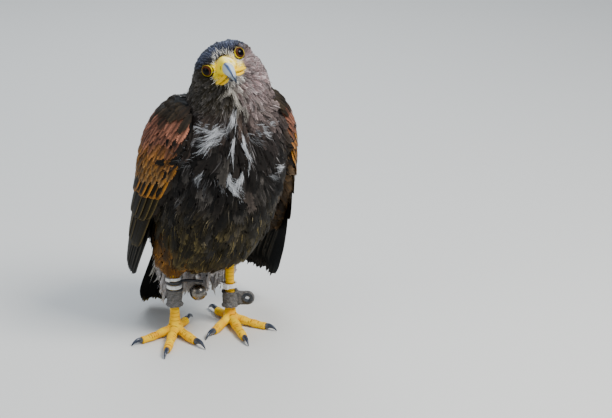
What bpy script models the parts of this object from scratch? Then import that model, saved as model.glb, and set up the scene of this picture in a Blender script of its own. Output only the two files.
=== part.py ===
"""A Harris's hawk standing at ease, life size, with the anklets, bands and bell that it wears.

Lengths in the tables and formulas are millimetres, and MM turns them into Blender's metres.
The bird faces -Y, +X is its left side and +Z is up, and the floor is z = 0.
Each named object is one closed solid. Solids that meet keep a gap of GAP between them.
"""

import math

import bmesh
import bpy
import numpy as np
from mathutils import Euler, Matrix, Vector

MM = 0.001
GAP = 0.3
LEFT, RIGHT = 1, -1
SIDE_NAMES = {LEFT: "left", RIGHT: "right"}

# Trunk: height, centre x, centre y, half width, depth to the front, depth to the back
TRUNK = (
    (71, 3, 12, 18, 19, 17),
    (76, 3, 10, 37, 35, 29),
    (90, 4, 5, 53, 50, 40),
    (112, 5, -2, 63, 61, 54),
    (140, 8, -9, 69, 68, 64),
    (172, 11, -17, 73, 72, 73),
    (205, 14, -24, 73, 71, 77),
    (235, 15, -31, 69, 62, 75),
    (257, 15, -38, 62, 51, 68),
    (272, 16, -43, 56, 44, 60),
    (290, 16, -46, 51, 38, 49),
    (308, 16, -48, 47.5, 33, 38),
    (323, 15, -49, 42, 27, 34),
    (336, 14, -50, 33, 20, 28),
    (345, 13, -50, 22, 12, 20),
)
NECK_BASE = 270
TRUNK_SIDES = 24
TRUNK_RINGS = 11
NECK_RINGS = 6

# Head: its own frame has the bill along -Y, and is then turned, raised and rolled
HEAD_CENTRE = (4, -55, 328.5)
HEAD_TURN, HEAD_RAISE, HEAD_ROLL = -20, 12, -27
HEAD_WIDE, HEAD_FRONT, HEAD_BACK = 36, 34, 40
HEAD_ABOVE, HEAD_BELOW = 24.5, 33
# Rings of the head round its bill axis, in degrees from the bill
HEAD_RINGS = (10, 22, 31, 39, 46, 53, 61, 70, 80, 92, 106, 122, 142, 166)
HEAD_SIDES = 28
EYE_CENTRE = (17.3, -20.5, 5)
EYE_RADIUS = 7.5
EYE_AIM = (0.60, -0.79, 0.06)
# Eye socket: how far its floor lies past the eye's centre, its spread in radians and how flat its floor is
EYE_SOCKET, SOCKET_SPREAD, SOCKET_HOLD = 2.4, 0.27, 1.3
LID_LIFT, LID_RING, LID_THICK = 4.1, 6.2, 1.5

# Thigh: height, centre x, centre y, radius
THIGH = (
    (72, 35, 1, 7.5),
    (77, 35, 1, 13),
    (88, 35, 0, 19),
    (102, 34, -2, 24),
    (122, 32, -4, 26),
)

# Leg and foot
FOOT_X, FOOT_Y = 35, 0
FOOT_TURN = {LEFT: 12, RIGHT: 32}
FOOT_FORM = ((0, 6.6), (3, 8.6), (8, 8.8), (13, 7.2), (19, 6.2))
FOOT_TOP = 19
TARSUS_TOP = 71.7
# Tarsus: height, radius
TARSUS_FORM = ((19, 6.2), (30, 5.5), (50, 5.2), (72, 5.0))
SCUTE_PITCH = 7.5
# Claw: sections, how far it bends and how steeply it leaves the toe in degrees
CLAW_RINGS = 6
CLAW_BEND, CLAW_LIFT = 78, 26
CLAW_STOUT, CLAW_POINT = 0.74, 0.35
CLAW_FLOOR = 0.2
# Toe: how high its arch stands at the foot and half way, and how deep its scutes and knuckles are
TOE_ARCH, TOE_BOW = 5.4, 0.5
TOE_START = 3
SCUTE_DEPTH, KNUCKLE = 0.07, 0.08
# Toes: name, heading from straight ahead towards the outside, length, base radius, tip radius, claw length
TOES = (
    ("hallux", 196, 30, 5.7, 4.9, 24),
    ("inner", -42, 40, 5.8, 5.0, 22),
    ("middle", 2, 57, 6.0, 4.8, 19),
    ("outer", 48, 46, 5.4, 4.5, 16),
)

# Outer face of the closed wings: height, centre y, half width, half depth
WING_SHAPE = (
    (20, 38, 78, 44),
    (50, 31, 84, 52),
    (80, 22, 89, 59),
    (120, 11, 92, 66),
    (160, 1, 93, 70),
    (200, -9, 93, 71),
    (230, -16, 91, 70),
    (255, -22, 84, 65),
    (274, -27, 73, 55),
    (288, -32, 58, 42),
)
# Sideways lean of the wings with the trunk, and each wing's own spread and sweep towards its tip
WING_LEAN = ((20, 14), (120, 14), (200, 16), (288, 15))
WING_SPREAD = {LEFT: 14, RIGHT: -2}
WING_SWEEP = {LEFT: 0, RIGHT: 14}
WING_SPREAD_TOP = 230
PRIMARY_RAISE = {LEFT: 0, RIGHT: 34}
# The wing's core: height, angle of its front edge, angle of its back edge; 0 is ahead, 90 the side
WING_CORE = (
    (100, 98, 164),
    (125, 84, 170),
    (155, 70, 172),
    (185, 60, 172),
    (215, 52, 171),
    (244, 46, 168),
    (264, 46, 160),
    (278, 54, 146),
    (286, 70, 126),
)
CORE_SINK = 5.0
CORE_DEPTH = ((100, 13), (125, 17), (155, 28), (286, 30))
CORE_COLUMNS = 6
# Rows of vanes: name, count, root height, tip height at the front and at the back edge, root angles front
# and back, tip angles front and back, width, height of the tip over the core, roll, stack step, sections
WING_ROWS = (
    ("primary", 6, 160, 33, 66, (74, 104), (92, 122), 22, 0.8, 4, 1.5, 3),
    ("secondary", 6, 182, 114, 104, (79, 156), (88, 163), 30, 5.2, 8, 0.0, 3),
    ("greater_covert", 6, 204, 150, 142, (72, 158), (80, 163), 30, 5.2, 8, 0.0, 2),
    ("median_covert", 6, 226, 180, 172, (64, 157), (71, 160), 29, 5.2, 8, 0.0, 2),
    ("lesser_covert_3", 6, 247, 206, 200, (58, 154), (64, 158), 26, 5.0, 8, 0.0, 2),
    ("lesser_covert_2", 5, 264, 229, 224, (57, 148), (60, 152), 25, 4.8, 8, 0.0, 2),
    ("lesser_covert_1", 4, 277, 250, 246, (62, 136), (62, 142), 24, 4.6, 8, 0.0, 2),
)
VANE_RIDGE, VANE_UNDER = 0.9, 0.4
VANE_ROOT = -2.4
# How much the wings' vanes vary: tip height, tip angle, share of the width
VANE_SPREAD = (2.2, 0.8, 0.05)

# Tail: root and tip of its middle line, the vanes' width and their fan
TAIL_ROOT = (2, 36, 156)
TAIL_TIP = (-26, 82, 3)
TAIL_VANES = 10
TAIL_VANE_WIDTH = 24
TAIL_FAN = 3.2
TAIL_LAYER = 1.15
# Half width and half depth of the tail's fleshy core at its root, and the share of the tail that it fills
TAIL_CORE = (15, 8, 0.42)
CORE_TAPER = 0.85
# Coverts on both faces of the tail's root: count, reach, where they start, how far they lie off the face
TAIL_COVERTS = ((5, 62, 22, 0.0), (4, 44, 16, 2.6))
COVERT_WIDTH, COVERT_PITCH, COVERT_TURN = 17, 4.5, 5
# The room that the tail takes between the wings: share of its length, half width, depth below, depth above
TAIL_ROOM = (
    (-0.06, 24, 11, 20),
    (0.25, 28, 11, 20),
    (0.55, 29, 11, 20),
    (0.62, 29, 2, 15),
    (1.02, 31, 2, 15),
)

# Anklets: bottom, top, and the heading and reach of the tab that carries the eyelet
ANKLET = {LEFT: (22, 40, 62, 18), RIGHT: (36, 55.5, 155, 14)}
LEG_GAP_RADIUS = 6.3
ANKLET_WALL, ANKLET_FLARE = 2.4, 1.2
TAB_THICK, TAB_HALF = 4.2, 8.4
EYELET_BORE, EYELET_HOLE, EYELET_RIM, EYELET_DEEP = 4.6, 2.7, 6.6, 6.4
# Plain rings round a leg: name, side, bottom, top, wall, finish
BANDS = (
    ("band_left", LEFT, 45, 50, 2.0, "band"),
    ("band_right", RIGHT, 57, 61.5, 2.6, "band"),
    ("tie_right", RIGHT, 67, 70.5, 1.6, "band"),
    ("bell_strap_right", RIGHT, 62.3, 66.2, 1.6, "strap"),
)
# Small closing blocks on two of the rings: ring, heading; and their thickness and width
CLIPS = (("tie_right", -75), ("band_left", -55))
CLIP_THICK, CLIP_WIDE = 3.4, 6.2
BELL_CENTRE = (-11, -12, 51)
BELL_RADIUS = 9.6
BELL_TILT = 18
BELL_RIM = 0.9
BELL_SLIT = (14, 1.8, 3.4)
COLLAR_RADIUS, COLLAR_HIGH = 2.4, 1.6
TONGUE_RADII = (1.7, 1.6, 1.6, 1.4)

COLOURS = {
    "plumage": ((0.055, 0.036, 0.026), 0.75, 0.0),
    "flight": ((0.022, 0.016, 0.013), 0.6, 0.0),
    "thigh": ((0.16, 0.07, 0.03), 0.8, 0.0),
    "yellow_skin": ((0.85, 0.42, 0.03), 0.45, 0.0),
    "cere": ((0.9, 0.6, 0.06), 0.4, 0.0),
    "horn": ((0.10, 0.13, 0.17), 0.25, 0.0),
    "claw": ((0.03, 0.035, 0.045), 0.25, 0.0),
    "eye": ((0.05, 0.02, 0.01), 0.05, 0.0),
    "leather": ((0.17, 0.15, 0.13), 0.85, 0.0),
    "strap": ((0.02, 0.022, 0.03), 0.6, 0.0),
    "band": ((0.8, 0.82, 0.84), 0.35, 0.0),
    "steel": ((0.55, 0.55, 0.55), 0.25, 1.0),
}


# Scene helpers


def clear_scene():
    for obj in list(bpy.data.objects):
        bpy.data.objects.remove(obj)


def material(name):
    found = bpy.data.materials.get(name)
    if found:
        return found
    colour, roughness, metallic = COLOURS[name]
    made = bpy.data.materials.new(name)
    made.use_nodes = True
    shader = made.node_tree.nodes["Principled BSDF"]
    shader.inputs["Base Color"].default_value = (*colour, 1)
    shader.inputs["Roughness"].default_value = roughness
    shader.inputs["Metallic"].default_value = metallic
    return made


def solid(name, points, faces, finish):
    """A mesh object from points in millimetres, with its faces turned outwards."""
    mesh = bpy.data.meshes.new(name)
    mesh.from_pydata([Vector(p) * MM for p in points], [], faces)
    work = bmesh.new()
    work.from_mesh(mesh)
    bmesh.ops.recalc_face_normals(work, faces=work.faces)
    if work.calc_volume(signed=True) < 0:
        bmesh.ops.reverse_faces(work, faces=work.faces)
    bmesh.ops.triangulate(work, faces=work.faces)
    work.to_mesh(mesh)
    work.free()
    obj = bpy.data.objects.new(name, mesh)
    mesh.materials.append(material(finish))
    bpy.context.scene.collection.objects.link(obj)
    return obj


def loft(name, rings, finish):
    """A closed solid through rings of equally many points, with a flat cap on each end."""
    count = len(rings[0])
    points = [p for ring in rings for p in ring]
    faces = []
    for i in range(len(rings) - 1):
        for j in range(count):
            k = (j + 1) % count
            faces.append((i * count + j, i * count + k, (i + 1) * count + k, (i + 1) * count + j))
    faces.append(tuple(range(count)))
    last = (len(rings) - 1) * count
    faces.append(tuple(range(last + count - 1, last - 1, -1)))
    return solid(name, points, faces, finish)


def largest_surface(obj):
    """Keeps only the closed surface that holds the most, and drops sealed hollows and loose scraps."""
    work = bmesh.new()
    work.from_mesh(obj.data)
    left = set(work.faces)
    surfaces = []
    while left:
        found, front = set(), [left.pop()]
        while front:
            face = front.pop()
            found.add(face)
            for edge in face.edges:
                for other in edge.link_faces:
                    if other in left:
                        left.discard(other)
                        front.append(other)
        surfaces.append(found)

    def held(faces):
        total = 0.0
        for face in faces:
            corners = [v.co for v in face.verts]
            for i in range(1, len(corners) - 1):
                total += corners[0].dot(corners[i].cross(corners[i + 1])) / 6
        return abs(total)

    surfaces.sort(key=held)
    drop = [face for found in surfaces[:-1] for face in found]
    bmesh.ops.delete(work, geom=drop, context="FACES")
    bmesh.ops.delete(work, geom=[v for v in work.verts if not v.link_faces], context="VERTS")
    work.to_mesh(obj.data)
    work.free()


def combine(obj, others, operation, solver="EXACT"):
    """Applies one Boolean of a collection of solids to obj, and removes those solids."""
    if not others:
        return
    group = bpy.data.collections.new("boolean")
    bpy.context.scene.collection.children.link(group)
    for other in others:
        group.objects.link(other)
    modifier = obj.modifiers.new("boolean", "BOOLEAN")
    modifier.operation = operation
    modifier.operand_type = "COLLECTION"
    modifier.collection = group
    modifier.solver = solver
    bpy.context.view_layer.update()
    graph = bpy.context.evaluated_depsgraph_get()
    mesh = bpy.data.meshes.new_from_object(obj.evaluated_get(graph))
    obj.modifiers.clear()
    obj.data = mesh
    for other in others:
        bpy.data.objects.remove(other)
    bpy.data.collections.remove(group)


def fuse(obj, pieces=(), cutters=(), solver="EXACT"):
    """Joins the pieces to obj, cuts the cutters away and keeps one closed body."""
    combine(obj, list(pieces), "UNION", solver)
    combine(obj, list(cutters), "DIFFERENCE", solver)
    largest_surface(obj)
    return obj


# Shape helpers


def between(stations, height):
    """The stations' values at a height, on smooth curves through them."""
    table = np.array(stations, float)
    heights = table[:, 0]
    slopes = np.gradient(table[:, 1:], heights, axis=0)
    height = min(max(height, heights[0]), heights[-1])
    i = min(max(int(np.searchsorted(heights, height)) - 1, 0), len(heights) - 2)
    step = heights[i + 1] - heights[i]
    t = (height - heights[i]) / step
    start, end = table[i, 1:], table[i + 1, 1:]
    return (
        start * (1 + 2 * t) * (1 - t) ** 2
        + slopes[i] * step * t * (1 - t) ** 2
        + end * t * t * (3 - 2 * t)
        + slopes[i + 1] * step * t * t * (t - 1)
    )


def trunk_ring(height, grow=0.0):
    middle, centre, wide, front, back = between(TRUNK, height)
    ring = []
    for j in range(TRUNK_SIDES):
        angle = 2 * math.pi * j / TRUNK_SIDES
        deep = front if math.cos(angle) > 0 else back
        x = middle + (wide + grow) * math.sin(angle)
        y = centre - (deep + grow) * math.cos(angle)
        ring.append((x, y, height))
    return ring


def frame_at(points, i):
    """Unit tangent of a path at its point i."""
    before = points[max(i - 1, 0)]
    after = points[min(i + 1, len(points) - 1)]
    return (after - before).normalized()


def tube(name, points, radii, finish, sides=8, floor=None, flat=1.0):
    """A round tube along points; radii vary along it, and nothing goes under floor."""
    rings = []
    for i, (point, radius) in enumerate(zip(points, radii)):
        tangent = frame_at(points, i)
        side = tangent.cross(Vector((0, 0, 1)))
        if side.length < 0.05:
            side = Vector((1, 0, 0))
        side.normalize()
        up = side.cross(tangent)
        ring = []
        for j in range(sides):
            angle = 2 * math.pi * (j + 0.5) / sides
            p = point + side * radius * math.cos(angle) + up * radius * flat * math.sin(angle)
            if floor is not None and p.z < floor:
                p.z = floor
            ring.append(p)
        rings.append(ring)
    return loft(name, rings, finish)


def turned(name, profile, finish, matrix, sides=20, closed_ring=False):
    """A solid turned about local Z from (radius, height) points, placed by matrix."""
    rings = []
    for radius, height in profile:
        ring = []
        for j in range(sides):
            angle = 2 * math.pi * j / sides
            ring.append(matrix @ Vector((radius * math.cos(angle), radius * math.sin(angle), height)))
        rings.append(ring)
    if not closed_ring:
        return loft(name, rings, finish)
    points = [p for ring in rings for p in ring]
    faces = []
    for i in range(len(rings)):
        n = (i + 1) % len(rings)
        for j in range(sides):
            k = (j + 1) % sides
            faces.append((i * sides + j, i * sides + k, n * sides + k, n * sides + j))
    return solid(name, points, faces, finish)


def ball(name, centre, radius, finish, detail=3):
    work = bmesh.new()
    bmesh.ops.create_icosphere(work, subdivisions=detail, radius=radius)
    points = [Vector(centre) + v.co for v in work.verts]
    faces = [tuple(v.index for v in f.verts) for f in work.faces]
    work.free()
    return solid(name, points, faces, finish)


def vane(points, normals, width, finish, tip=0.5, root=0.42):
    """One feather: a thin leaf along points, narrow at its root, ridged along its shaft, round at its tip."""
    last = len(points) - 1
    rings = []
    for i, (point, normal) in enumerate(zip(points, normals)):
        s = i / last
        tangent = frame_at(points, i)
        side = tangent.cross(normal).normalized()
        up = side.cross(tangent).normalized()
        grow = root + (1 - root) * min(1.0, s / 0.4)
        shrink = 1.0 if s < 0.6 else 1 - (1 - tip) * ((s - 0.6) / 0.4) ** 1.6
        edge = side * (width / 2 * grow * shrink)
        rings.append((point - edge, point + up * VANE_RIDGE, point + edge, point - up * VANE_UNDER))
    return loft("vane", rings, finish)


# Head


def mirrored(vector, side):
    return Vector((vector[0] * side, vector[1], vector[2]))


def head_matrix():
    turn = Euler((0, 0, math.radians(HEAD_TURN))).to_matrix()
    raise_up = Euler((math.radians(-HEAD_RAISE), 0, 0)).to_matrix()
    roll = Euler((0, math.radians(HEAD_ROLL), 0)).to_matrix()
    return Matrix.Translation(HEAD_CENTRE) @ (turn @ raise_up @ roll).to_4x4()


# Swellings and hollows of the head: direction, height, spread in radians
HEAD_FORMS = (
    ((0.62, -0.64, 0.50), 2.6, 0.20),
    ((0.74, -0.30, -0.52), 2.5, 0.42),
    ((0.30, -0.92, -0.10), -4.0, 0.30),
    ((0.0, -0.62, -0.78), -2.5, 0.35),
    ((0.0, -0.95, 0.30), -3.0, 0.35),
    ((0.0, 0.55, 0.60), 1.5, 0.6),
)


def oval_radius(direction):
    halves = (
        HEAD_WIDE,
        HEAD_FRONT if direction[1] < 0 else HEAD_BACK,
        HEAD_ABOVE if direction[2] > 0 else HEAD_BELOW,
    )
    return 1 / math.sqrt(sum((d / h) ** 2 for d, h in zip(direction, halves)))


def head_radius(direction):
    """Distance from the head's centre to its surface, with a shallow socket round each eye."""
    radius = oval_radius(direction)
    for centre, height, spread in HEAD_FORMS:
        for mirror in (LEFT, RIGHT) if centre[0] else (LEFT,):
            towards = mirrored(centre, mirror).normalized()
            radius += height * math.exp(-((direction.angle(towards) / spread) ** 2))
    for mirror in (LEFT, RIGHT):
        eye = mirrored(EYE_CENTRE, mirror)
        share = SOCKET_HOLD * math.exp(-((direction.angle(eye.normalized()) / SOCKET_SPREAD) ** 2))
        radius += (eye.length + EYE_SOCKET - radius) * min(1.0, share)
    return radius


def head_form(name, grow=0.0):
    place = head_matrix()
    rings = []
    for polar in HEAD_RINGS:
        ring = []
        for j in range(HEAD_SIDES):
            angle = 2 * math.pi * j / HEAD_SIDES
            out = math.sin(math.radians(polar))
            way = Vector((out * math.cos(angle), -math.cos(math.radians(polar)), out * math.sin(angle)))
            ring.append(place @ (way * (head_radius(way) + grow)))
        rings.append(ring)
    return loft(name, rings, "plumage")


def eye_ball(name, side, grow=0.0):
    return ball(name, head_matrix() @ mirrored(EYE_CENTRE, side), EYE_RADIUS + grow, "eye")


def lid(side):
    """The ring of lid that stands round the eye."""
    aim = mirrored(EYE_AIM, side).normalized()
    centre = mirrored(EYE_CENTRE, side) + aim * LID_LIFT
    place = head_matrix() @ Matrix.Translation(centre) @ aim.to_track_quat("Z", "Y").to_matrix().to_4x4()
    profile = []
    for j in range(5):
        angle = 2 * math.pi * j / 5
        profile.append((LID_RING + LID_THICK * math.cos(angle), LID_THICK * math.sin(angle)))
    return turned("lid", profile, "plumage", place, sides=14, closed_ring=True)


def face_loft(name, sections, finish, grow=0.0, sides=14):
    """A form along the head's -Y: (y, centre z, half width, half height above, below) in its frame."""
    place = head_matrix()
    rings = []
    for y, z, wide, above, below in sections:
        ring = []
        for j in range(sides):
            angle = 2 * math.pi * j / sides
            tall = above if math.sin(angle) > 0 else below
            x = (wide + grow) * math.cos(angle)
            ring.append(place @ Vector((x, y, z + (tall + grow) * math.sin(angle))))
        rings.append(ring)
    return loft(name, rings, finish)


# Cere and lower bill along the head's -Y: y, centre z, half width, half height above and below
CERE = (
    (-20, 0, 8.4, 11.5, 9.5),
    (-29, -0.6, 9.8, 11, 9.2),
    (-34.5, -1.4, 8.6, 9.9, 8.2),
    (-40, -2.4, 6.2, 8.2, 7.0),
)
LOWER_BILL = (
    (-28, -13.2, 6.5, 2.6, 3.0),
    (-36, -13.6, 5.8, 2.6, 3.0),
    (-43, -13.6, 4.6, 2.4, 2.6),
    (-48.5, -13.0, 2.2, 1.6, 1.4),
)
BILL_SECTIONS = 8
BILL_ROOT = -40
BILL_REACH, BILL_DROP, BILL_BEND = 16.5, 16.0, 84
BILL_HALF_WIDE, BILL_HALF_TALL = 5.4, 7.4
GAPE = ((4.6, -35.5, -6.8), (9.0, -31.5, -8.4), (12.8, -26, -9.8), (16, -20.5, -10.6))
GAPE_RADII = (1.8, 2.1, 2.0, 0.9)
NOSTRIL, NOSTRIL_RADIUS = (7.9, -35.4, 1.4), 1.5


def upper_bill():
    """The hooked upper bill, from the cere's front to its tip."""
    place = head_matrix()
    rings = []
    for i in range(BILL_SECTIONS):
        t = i / (BILL_SECTIONS - 1)
        angle = math.radians(BILL_BEND) * t
        ahead, down = BILL_REACH * math.sin(angle), BILL_DROP * (1 - math.cos(angle))
        centre = Vector((0, BILL_ROOT - GAP - ahead, -2.5 - down))
        up = Vector((0, -math.sin(angle), math.cos(angle)))
        wide = BILL_HALF_WIDE * (1 - t**1.7) + 0.5
        tall = BILL_HALF_TALL * (1 - t**1.25) + 0.5
        ring = []
        for j in range(10):
            turn = 2 * math.pi * j / 10
            across = Vector((wide * math.cos(turn), 0, 0))
            ring.append(place @ (centre + across + up * tall * math.sin(turn)))
        rings.append(ring)
    return loft("bill_upper", rings, "horn")


def gape(name, side, grow=0.0):
    """The yellow edge of the mouth, from the bill back to below the eye."""
    points = [head_matrix() @ mirrored(p, side) for p in GAPE]
    points[0] += (points[0] - points[1]).normalized() * grow
    points[-1] += (points[-1] - points[-2]).normalized() * grow
    return tube(name, points, [r + grow * 1.2 for r in GAPE_RADII], "cere", sides=6)


def nostril(side):
    return ball("nostril", head_matrix() @ mirrored(NOSTRIL, side), NOSTRIL_RADIUS, "cere", 1)


def build_head():
    cere = face_loft("cere", CERE, "cere")
    cutters = [nostril(LEFT), nostril(RIGHT), face_loft("cut", LOWER_BILL, "horn", GAP)]
    fuse(cere, [gape("gape", LEFT), gape("gape", RIGHT)], cutters)
    fuse(upper_bill(), [], [face_loft("cut", LOWER_BILL, "horn", GAP)])
    face_loft("bill_lower", LOWER_BILL, "horn")
    head = head_form("head")
    cutters = [face_loft("cut", CERE, "cere", GAP), face_loft("cut", LOWER_BILL, "horn", GAP)]
    for side in (LEFT, RIGHT):
        cutters += [eye_ball("cut", side, GAP), gape("cut", side, GAP)]
        eye_ball(f"eye_{SIDE_NAMES[side]}", side)
    fuse(head, [lid(LEFT), lid(RIGHT)], cutters)


# Trunk, neck and thighs


def trunk_form(name, bottom, top, rings, grow=0.0):
    heights = np.linspace(bottom, top, rings)
    return loft(name, [trunk_ring(h, grow) for h in heights], "plumage")


def torso_cutter(grow=GAP):
    return trunk_form("cut", TRUNK[0][0] - grow, NECK_BASE + grow, TRUNK_RINGS, grow)


def neck_cutter(grow=GAP):
    return trunk_form("cut", NECK_BASE - grow, TRUNK[-1][0] + grow, NECK_RINGS, grow)


def thigh_form(name, side, grow=0.0):
    rings = []
    for height in np.linspace(THIGH[0][0], THIGH[-1][0], 7):
        x, y, radius = between(THIGH, height)
        ring = []
        for j in range(16):
            angle = 2 * math.pi * j / 16
            reach = radius + grow
            ring.append(((x + reach * math.sin(angle)) * side, y - reach * math.cos(angle), height))
        rings.append(ring)
    if grow:
        rings[0] = [(x, y, z - grow) for x, y, z in rings[0]]
    return loft(name, rings, "thigh")


def build_trunk():
    trunk_form("torso", TRUNK[0][0], NECK_BASE, TRUNK_RINGS)
    neck = trunk_form("neck", NECK_BASE + GAP, TRUNK[-1][0], NECK_RINGS)
    fuse(neck, [], [head_form("cut", GAP)])
    for side in (LEFT, RIGHT):
        thigh = thigh_form(f"thigh_{SIDE_NAMES[side]}", side)
        fuse(thigh, [], [torso_cutter()])


# Wings


def wing_point(side, height, angle, out=0.0):
    """A point of the wing's outer face, and the direction away from the body there."""
    centre, wide, deep = between(WING_SHAPE, height)
    lean = float(between(WING_LEAN, height)[0])
    share = max(0.0, 1 - height / WING_SPREAD_TOP)
    turn = math.radians(angle)
    sine, cosine = math.sin(turn), math.cos(turn)
    normal = Vector((deep * sine * side, -wide * cosine, 0)).normalized()
    x = lean + (wide * sine + WING_SPREAD[side] * share) * side
    y = centre - deep * cosine + WING_SWEEP[side] * share
    return Vector((x, y, height)) + normal * out, normal


def wing_core(side):
    """The closed slab that carries the wing's vanes."""
    outer, inner = [], []
    for height, front, back in WING_CORE:
        for angle in np.linspace(front, back, CORE_COLUMNS):
            point, normal = wing_point(side, height, angle, -CORE_SINK)
            outer.append(point)
            inner.append(point - normal * float(between(CORE_DEPTH, height)[0]))
    rows, columns = len(WING_CORE), CORE_COLUMNS
    base = len(outer)
    faces = []
    for i in range(rows - 1):
        for j in range(columns - 1):
            a, b = i * columns + j, i * columns + j + 1
            c, d = b + columns, a + columns
            faces.append((a, b, c, d))
            faces.append((base + d, base + c, base + b, base + a))
    rim = list(range(columns))
    rim += [i * columns + columns - 1 for i in range(1, rows)]
    rim += [(rows - 1) * columns + j for j in range(columns - 2, -1, -1)]
    rim += [i * columns for i in range(rows - 2, 0, -1)]
    for a, b in zip(rim, rim[1:] + rim[:1]):
        faces.append((a, base + a, base + b, b))
    return solid(f"wing_{SIDE_NAMES[side]}", outer + inner, faces, "flight")


def wing_vanes(side):
    made = []
    rng = np.random.default_rng(20 + side)
    for row in WING_ROWS:
        name, count, root_z, front_z, back_z, root_angles, tip_angles, width, top, roll, step, sections = row
        raised = PRIMARY_RAISE[side] if name == "primary" else 0
        for k in range(count):
            f = k / (count - 1)
            root_angle = root_angles[0] + (root_angles[1] - root_angles[0]) * f
            tip_angle = tip_angles[0] + (tip_angles[1] - tip_angles[0]) * f
            tip_z = front_z + (back_z - front_z) * f + raised * (1 - 0.5 * f)
            longer, turned_by, wider = rng.uniform(-1, 1, 3) * VANE_SPREAD
            tip_z -= longer
            tip_angle += turned_by
            points, normals = [], []
            for i in range(sections + 1):
                s = i / sections
                lift = VANE_ROOT + (top + step * k - VANE_ROOT) * s - CORE_SINK
                height, angle = root_z + (tip_z - root_z) * s, root_angle + (tip_angle - root_angle) * s
                point, normal = wing_point(side, height, angle, lift)
                points.append(point)
                normals.append(normal)
            axis = (points[-1] - points[0]).normalized()
            tilt = Matrix.Rotation(math.radians(roll * side), 3, axis)
            finish = "flight" if name in ("primary", "secondary") else "plumage"
            made.append(vane(points, [tilt @ n for n in normals], width * (1 + wider), finish))
    return made


def build_wings():
    for side in (LEFT, RIGHT):
        core = wing_core(side)
        cutters = [torso_cutter(), neck_cutter(), thigh_form("cut", side, GAP), tail_room()]
        fuse(core, wing_vanes(side), cutters)


# Tail


def tail_frame():
    root, tip = Vector(TAIL_ROOT), Vector(TAIL_TIP)
    along = (tip - root).normalized()
    out = Vector((1, 0, 0)).cross(along).normalized()
    return root, along, out, along.cross(out), (tip - root).length


def tail_vane(heading, across_at, reach, heights, start, width):
    """A vane of the tail: across_at moves its root sideways, and heights lift it off the tail's own plane."""
    root, along, out, across, _ = tail_frame()
    turn = math.radians(heading)
    ahead = along * math.cos(turn) + across * math.sin(turn)
    last = len(heights) - 1
    points = []
    for i, height in enumerate(heights):
        points.append(root + along * start + across * across_at + ahead * reach * i / last + out * height)
    up = out if heights[-1] > 0 else -out
    return vane(points, [up] * len(points), width, "flight")


def tail_room():
    root, along, out, across, length = tail_frame()
    rings = []
    for share, half, below, above in TAIL_ROOM:
        centre = root + along * length * share
        corners = ((-half, -below), (half, -below), (half, above), (-half, above))
        rings.append([centre + across * x + out * y for x, y in corners])
    return loft("cut", rings, "flight")


def build_tail():
    root, along, out, across, length = tail_frame()
    vanes = []
    for k in range(TAIL_VANES):
        place = k - (TAIL_VANES - 1) / 2
        layer = (TAIL_VANES - 1 - 2 * abs(place) + (1 if place > 0 else 0)) * TAIL_LAYER
        reach = length * (1 - 0.006 * abs(place))
        heights = [0.3 + layer * min(1, i * 0.67) for i in range(4)]
        heading = TAIL_FAN * place / (TAIL_VANES / 2)
        vanes.append(tail_vane(heading, place * 1.2, reach, heights, 0, TAIL_VANE_WIDTH))
    top = TAIL_VANES * TAIL_LAYER + 1.6
    for count, reach, start, lift in TAIL_COVERTS:
        for k in range(count):
            place = k - (count - 1) / 2
            step = lift + 1.2 * (k % 2)
            above = [4, top + step, top + step + 0.6]
            below = [-1.5, -4 - step, -5 - step]
            for heights in (above, below):
                heading, across_at = COVERT_TURN * place, COVERT_PITCH * place
                vanes.append(tail_vane(heading, across_at, reach, heights, start, COVERT_WIDTH))
    wide, deep, share = TAIL_CORE
    rings = []
    for s in np.linspace(0, share, 4):
        centre = root + along * length * s + out * (TAIL_VANES * TAIL_LAYER * min(0.5, s * 3))
        fade = 1 - s / share * CORE_TAPER
        ring = []
        for j in range(12):
            angle = 2 * math.pi * j / 12
            ring.append(centre + across * wide * fade * math.cos(angle) + out * deep * fade * math.sin(angle))
        rings.append(ring)
    fuse(loft("tail", rings, "flight"), vanes, [torso_cutter()])


# Legs, feet and claws


def toe_path(side, heading, length, radius):
    """The toe's middle line from inside the foot to its tip, and its unit heading on the floor."""
    turn = math.radians(heading * side - FOOT_TURN[side])
    ahead = Vector((math.sin(turn), -math.cos(turn), 0))
    start = Vector((FOOT_X * side, FOOT_Y, 0))
    count = round(length / SCUTE_PITCH)
    points = []
    for i in range(count * 2 + 1):
        s = i / (count * 2)
        arch = TOE_ARCH * (1 - s) ** 2.6 + TOE_BOW * math.sin(math.pi * s) ** 2
        reach = TOE_START + (length - TOE_START) * s
        points.append(start + ahead * reach + Vector((0, 0, radius * 0.80 + arch)))
    return points, ahead


def build_foot(side):
    label = SIDE_NAMES[side]
    centre = Vector((FOOT_X * side, FOOT_Y, 0))
    rings = []
    for height, radius in FOOT_FORM:
        ring = []
        for j in range(10):
            angle = 2 * math.pi * (j + 0.5) / 10
            ring.append(centre + Vector((radius * math.cos(angle), radius * math.sin(angle), height)))
        rings.append(ring)
    foot = loft(f"foot_{label}", rings, "yellow_skin")
    toes = []
    for name, heading, length, base, tip, claw in TOES:
        points, ahead = toe_path(side, heading, length, (base + tip) / 2)
        radii = []
        for i in range(len(points)):
            s = i / (len(points) - 1)
            scute = 1.0 if i % 2 else 1 - SCUTE_DEPTH
            knuckle = 1 + KNUCKLE * math.cos(2 * math.pi * s * (3 if length > 45 else 2))
            radii.append((base + (tip - base) * s) * scute * knuckle)
        toes.append(tube("toe", points, radii, "yellow_skin", sides=8, floor=0.0))
        build_claw(f"claw_{label}_{name}", points, ahead, tip, claw)
    fuse(foot, toes)


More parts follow.
